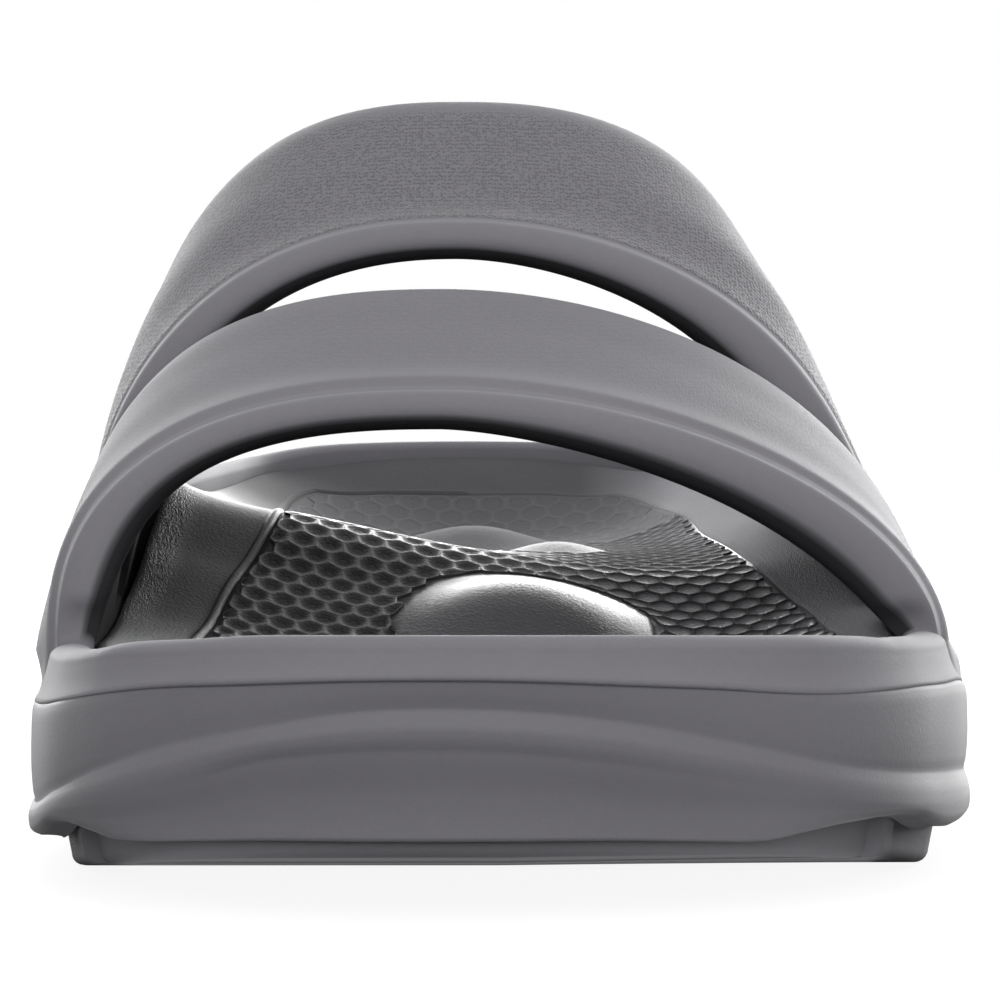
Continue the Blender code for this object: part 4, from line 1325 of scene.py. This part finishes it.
def foam_base(name):
    """Matte moulded foam: cloudy grey, uneven roughness and a fine skin. Gives what later steps build on."""
    dark, light, rough, skin_scale, skin_depth, specular = FOAMS[name]
    material, tree, shader = start_material(name)
    cloud = texture(tree, "ShaderNodeTexNoise", CLOUDS, Detail=4.0).outputs["Fac"]
    speck = texture(tree, "ShaderNodeTexNoise", SPECKS, Detail=2.0).outputs["Fac"]
    clouded = ramp(tree, cloud, 0.0, CLOUD_SHARE, *NOISE_RANGE)
    share = math_node(tree, "ADD", clouded, ramp(tree, speck, 0.0, SPECK_SHARE, *NOISE_RANGE))
    colour = mix_colour(tree, share, grey(dark), grey(light))
    tree.links.new(colour, shader.inputs["Base Color"])
    uneven = ramp(tree, cloud, rough - ROUGH_SWING, rough + ROUGH_SWING, *NOISE_RANGE)
    tree.links.new(uneven, shader.inputs["Roughness"])
    skin = texture(tree, "ShaderNodeTexNoise", skin_scale, Detail=3.0, Roughness=0.6)
    normal = bump(tree, skin.outputs["Fac"], 1.0, skin_depth)
    tree.links.new(normal, shader.inputs["Normal"])
    shader.inputs["Specular IOR Level"].default_value = specular
    return material, tree, shader, colour, normal


def stretched_place(tree, scale):
    """A place on the piece, with its own scale along each axis."""
    place = tree.nodes.new("ShaderNodeTexCoord")
    stretch = add_node(tree, "ShaderNodeMapping")
    stretch.inputs["Scale"].default_value = scale
    tree.links.new(place.outputs["Object"], stretch.inputs["Vector"])
    return stretch.outputs["Vector"]


def add_sheen(shader):
    """A soft light edge where the foam turns away."""
    shader.inputs["Sheen Weight"].default_value = SHEEN[0]
    shader.inputs["Sheen Roughness"].default_value = SHEEN[1]


def plain_foam(name, sheen=False):
    """A foam with nothing painted on it."""
    material, _, shader, _, _ = foam_base(name)
    if sheen:
        add_sheen(shader)
    return material


def upper_material():
    """Foam upper with pebbled grain where the strap panels are painted for it, painted shade darkening the
    grain's pits, and dark painted shade where its inside is painted for it.
    """
    material, tree, shader, colour, normal = foam_base("foam_upper")
    painted = paint_value(tree)
    paint = most(tree, painted, 0.0)
    # Share of painted inside shade, from the negative paint
    inside_shade = most(tree, times(tree, painted, -1.0), 0.0)
    pebble = add_node(tree, "ShaderNodeTexVoronoi", Scale=1.0, Randomness=0.6)
    tree.links.new(stretched_place(tree, PEBBLES), pebble.inputs["Vector"])
    pit = ramp(tree, pebble.outputs["Distance"], 0.0, 1.0, *PIT_RANGE)
    grain = bump(tree, times(tree, pit, paint), GRAIN_STRENGTH, GRAIN_DEPTH, normal)
    tree.links.new(grain, shader.inputs["Normal"])
    # Painted shade: the pits of the grain are darkened in colour, on top of their bump
    depth = times(tree, rest(tree, pit), paint)
    pit_shaded = mix_colour(tree, times(tree, depth, PIT_SHADE), colour, named_grey("pit"))
    inside_shaded = mix_colour(tree, inside_shade, pit_shaded, named_grey("inside_shade"))
    tree.links.new(inside_shaded, shader.inputs["Base Color"])
    add_sheen(shader)
    return material


def add_inside_shade(piece, material):
    """Give the faces painted wholly with inside shade their own dark material, matte and without the sheen of
    the outer skin.
    """
    mesh = piece.data
    mesh.materials.append(material)
    paint = mesh.attributes["paint"].data
    for face in mesh.polygons:
        if all(paint[corner].value < FULL_INSIDE_SHADE for corner in face.vertices):
            face.material_index = 1


def span_share(tree, axis, span):
    """0 before a span along an axis of the piece, 1 after it."""
    way = tree.nodes.new("ShaderNodeSeparateXYZ")
    tree.links.new(tree.nodes.new("ShaderNodeTexCoord").outputs["Object"], way.inputs["Vector"])
    return ramp(tree, way.outputs[axis], 0.0, 1.0, *span)


def footbed_material():
    """Satin footbed skin, crinkled on the painted strip and on the lateral band, which is given a much
    lighter grey as painted light.
    """
    material, tree, shader, colour, normal = foam_base("foam_footbed")
    paint = paint_value(tree)
    lateral = span_share(tree, "X", LATERAL_BAND_SPAN)
    fold = add_node(tree, "ShaderNodeTexNoise", Scale=1.0, Detail=2.0, Distortion=1.4)
    tree.links.new(stretched_place(tree, CRINKLES), fold.inputs["Vector"])
    folded = most(tree, paint, times(tree, lateral, LATERAL_CRINKLE))
    crinkle = bump(tree, times(tree, fold.outputs["Fac"], folded), 1.0, CRINKLE_DEPTH, normal)
    tree.links.new(crinkle, shader.inputs["Normal"])
    matte = most(tree, span_share(tree, "Y", HEEL_MATTE), lateral)
    tree.links.new(ramp(tree, matte, *FOOTBED_ROUGH), shader.inputs["Roughness"])
    # Painted light: the lateral band is painted far lighter than the rest of the footbed
    lit_band = mix_colour(tree, lateral, colour, named_grey("lateral band"))
    tree.links.new(lit_band, shader.inputs["Base Color"])
    return material


def inlay_material():
    """Satin inlay with painted light and shade: dark cells and lighter ridges, the other way round on the
    lateral side, a lighter heel and lighter grey pads.
    """
    material, tree, shader, colour, _ = foam_base("foam_inlay")
    heel = span_share(tree, "Y", INLAY_HEEL_SPAN)
    painted = paint_value(tree)
    lateral_light_and_gloss = span_share(tree, "X", LATERAL_LIGHT_AND_GLOSS)
    # Painted light and shade: ridge and cell greys swap on the lateral side, and the heel and the pads are
    # painted lighter
    foot_ridge = mix_colour(tree, lateral_light_and_gloss, named_grey("ridge"), named_grey("lateral ridge"))
    ridge = mix_colour(tree, heel, foot_ridge, named_grey("heel ridge"))
    foot_cell = mix_colour(tree, lateral_light_and_gloss, colour, named_grey("lateral cell"))
    cell = mix_colour(tree, heel, foot_cell, named_grey("heel cell"))
    pad = ramp(tree, painted, 0.0, 1.0, 1.0, PAD_PAINT)
    netted = mix_colour(tree, painted, cell, ridge)
    tree.links.new(mix_colour(tree, pad, netted, named_grey("pad")), shader.inputs["Base Color"])
    on_ridge = ramp(tree, painted, 0.0, 1.0)
    off_pad = times(tree, lateral_light_and_gloss, rest(tree, pad))
    ridge_rough = times(tree, on_ridge, ramp(tree, off_pad, *RIDGE_ROUGH))
    cell_rough = times(tree, rest(tree, on_ridge), ramp(tree, lateral_light_and_gloss, *CELL_ROUGH))
    net_rough = math_node(tree, "ADD", ridge_rough, cell_rough)
    rough = most(tree, ramp(tree, heel, 0.0, HEEL_ROUGH), net_rough)
    pad_rough = ramp(tree, painted, 0.0, PAD_ROUGH, 1.0, PAD_PAINT)
    matte_pad = times(tree, pad_rough, span_share(tree, "Y", PAD_MATTE))
    tree.links.new(most(tree, rough, matte_pad), shader.inputs["Roughness"])
    return material


def add_floor():
    """A wide pale floor that glows a little and shows almost white."""
    mesh = bpy.data.meshes.new("floor")
    signs = ((-1.0, -1.0), (1.0, -1.0), (1.0, 1.0), (-1.0, 1.0))
    corners = [(x * FLOOR_REACH, y * FLOOR_REACH, FLOOR_LEVEL) for x, y in signs]
    mesh.from_pydata(corners, [], [(0, 1, 2, 3)])
    material, tree, shader = start_material("floor_white")
    cloud = texture(tree, "ShaderNodeTexNoise", 3.0, Detail=2.0)
    dark, light = [grey(value, 0.0) for value in FLOOR_GREYS]
    tree.links.new(mix_colour(tree, cloud.outputs["Fac"], dark, light), shader.inputs["Base Color"])
    shader.inputs["Roughness"].default_value = FLOOR_ROUGH
    shader.inputs["Specular IOR Level"].default_value = 0.0
    shader.inputs["Emission Color"].default_value = WHITE
    away = tree.nodes.new("ShaderNodeVectorMath")
    away.operation = "LENGTH"
    tree.links.new(tree.nodes.new("ShaderNodeTexCoord").outputs["Object"], away.inputs[0])
    glow = ramp(tree, away.outputs["Value"], *FLOOR_GLOW, *FLOOR_SPAN)
    shown = ramp(tree, away.outputs["Value"], *FLOOR_SHOWN, *FLOOR_SPAN)
    path = tree.nodes.new("ShaderNodeLightPath")
    tree.links.new(plain_to_camera(tree, path, glow, shown), shader.inputs["Emission Strength"])
    mesh.materials.append(material)
    floor = bpy.data.objects.new("floor", mesh)
    bpy.context.scene.collection.objects.link(floor)


def add_area(name, place, target, size, power):
    """A soft rectangular light, aimed at a target and not shown to the camera."""
    data = bpy.data.lights.new(name, "AREA")
    data.shape = "RECTANGLE"
    data.size = size[0]
    data.size_y = size[1]
    data.energy = power
    lamp = bpy.data.objects.new(name, data)
    lamp.location = place
    lamp.visible_camera = False
    run = [b - a for a, b in zip(place, target)]
    flat = math.hypot(run[0], run[1])
    lamp.rotation_euler = (math.atan2(flat, -run[2]), 0.0, math.atan2(-run[0], run[1]))
    bpy.context.scene.collection.objects.link(lamp)


def plain_to_camera(tree, path, value, seen):
    """A strength that lights the shoe with one value and shows as another."""
    direct = path.outputs["Is Camera Ray"]
    apart = times(tree, rest(tree, direct), value)
    return math_node(tree, "ADD", apart, times(tree, direct, seen))


def add_world():
    """White surroundings, brighter behind the shoe; they show as plain white."""
    world = bpy.data.worlds.new("studio")
    bpy.context.scene.world = world
    world.use_nodes = True
    tree = world.node_tree
    background = tree.nodes["Background"]
    background.inputs["Color"].default_value = WHITE
    way = tree.nodes.new("ShaderNodeSeparateXYZ")
    tree.links.new(tree.nodes.new("ShaderNodeTexCoord").outputs["Generated"], way.inputs["Vector"])
    level, overhead, sideways = [ramp(tree, way.outputs[axis], *values) for axis, *values in SURROUNDINGS]
    shade = times(tree, times(tree, level, overhead), sideways)
    path = tree.nodes.new("ShaderNodeLightPath")
    tree.links.new(plain_to_camera(tree, path, shade, 1.0), background.inputs["Strength"])


def add_lights():
    """Soft light from above and behind, from both sides and the front, and a faint one under the toe."""
    for light in LIGHTS:
        add_area(*light)


def add_camera():
    """The photograph's view: low, straight in front of the toe."""
    data = bpy.data.cameras.new("camera")
    data.sensor_fit = "HORIZONTAL"
    data.sensor_width = SENSOR
    data.lens = SENSOR * CAMERA_FOCAL_PX / FRAME_PX
    data.clip_start = 0.01
    data.clip_end = 50.0
    camera = bpy.data.objects.new("camera", data)
    camera.location = (CENTRE_X / 1000.0, -LENGTH / 2000.0 - CAMERA_BEFORE_TOE, CAMERA_HEIGHT)
    pitch = math.atan(CAMERA_TILT_PX / CAMERA_FOCAL_PX)
    camera.rotation_euler = (math.pi / 2.0 - pitch, 0.0, 0.0)
    bpy.context.scene.collection.objects.link(camera)
    bpy.context.scene.camera = camera


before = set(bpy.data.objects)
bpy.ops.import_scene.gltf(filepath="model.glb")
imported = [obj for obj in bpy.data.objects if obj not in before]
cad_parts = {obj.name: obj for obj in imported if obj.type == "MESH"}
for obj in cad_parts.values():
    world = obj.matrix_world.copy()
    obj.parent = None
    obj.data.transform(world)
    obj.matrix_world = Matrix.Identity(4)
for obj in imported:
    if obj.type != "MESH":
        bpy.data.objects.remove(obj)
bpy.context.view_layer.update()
add_camera()
add_floor()
add_world()
bpy.context.scene.view_settings.view_transform = "Standard"
build_outsole(plain_foam("rubber_outsole"))
build_midsole(plain_foam("foam_midsole", sheen=True))
build_footbed(footbed_material())
build_inlay(inlay_material())
add_inside_shade(build_upper(upper_material()), plain_foam("inside_shade_dark"))
add_lights()
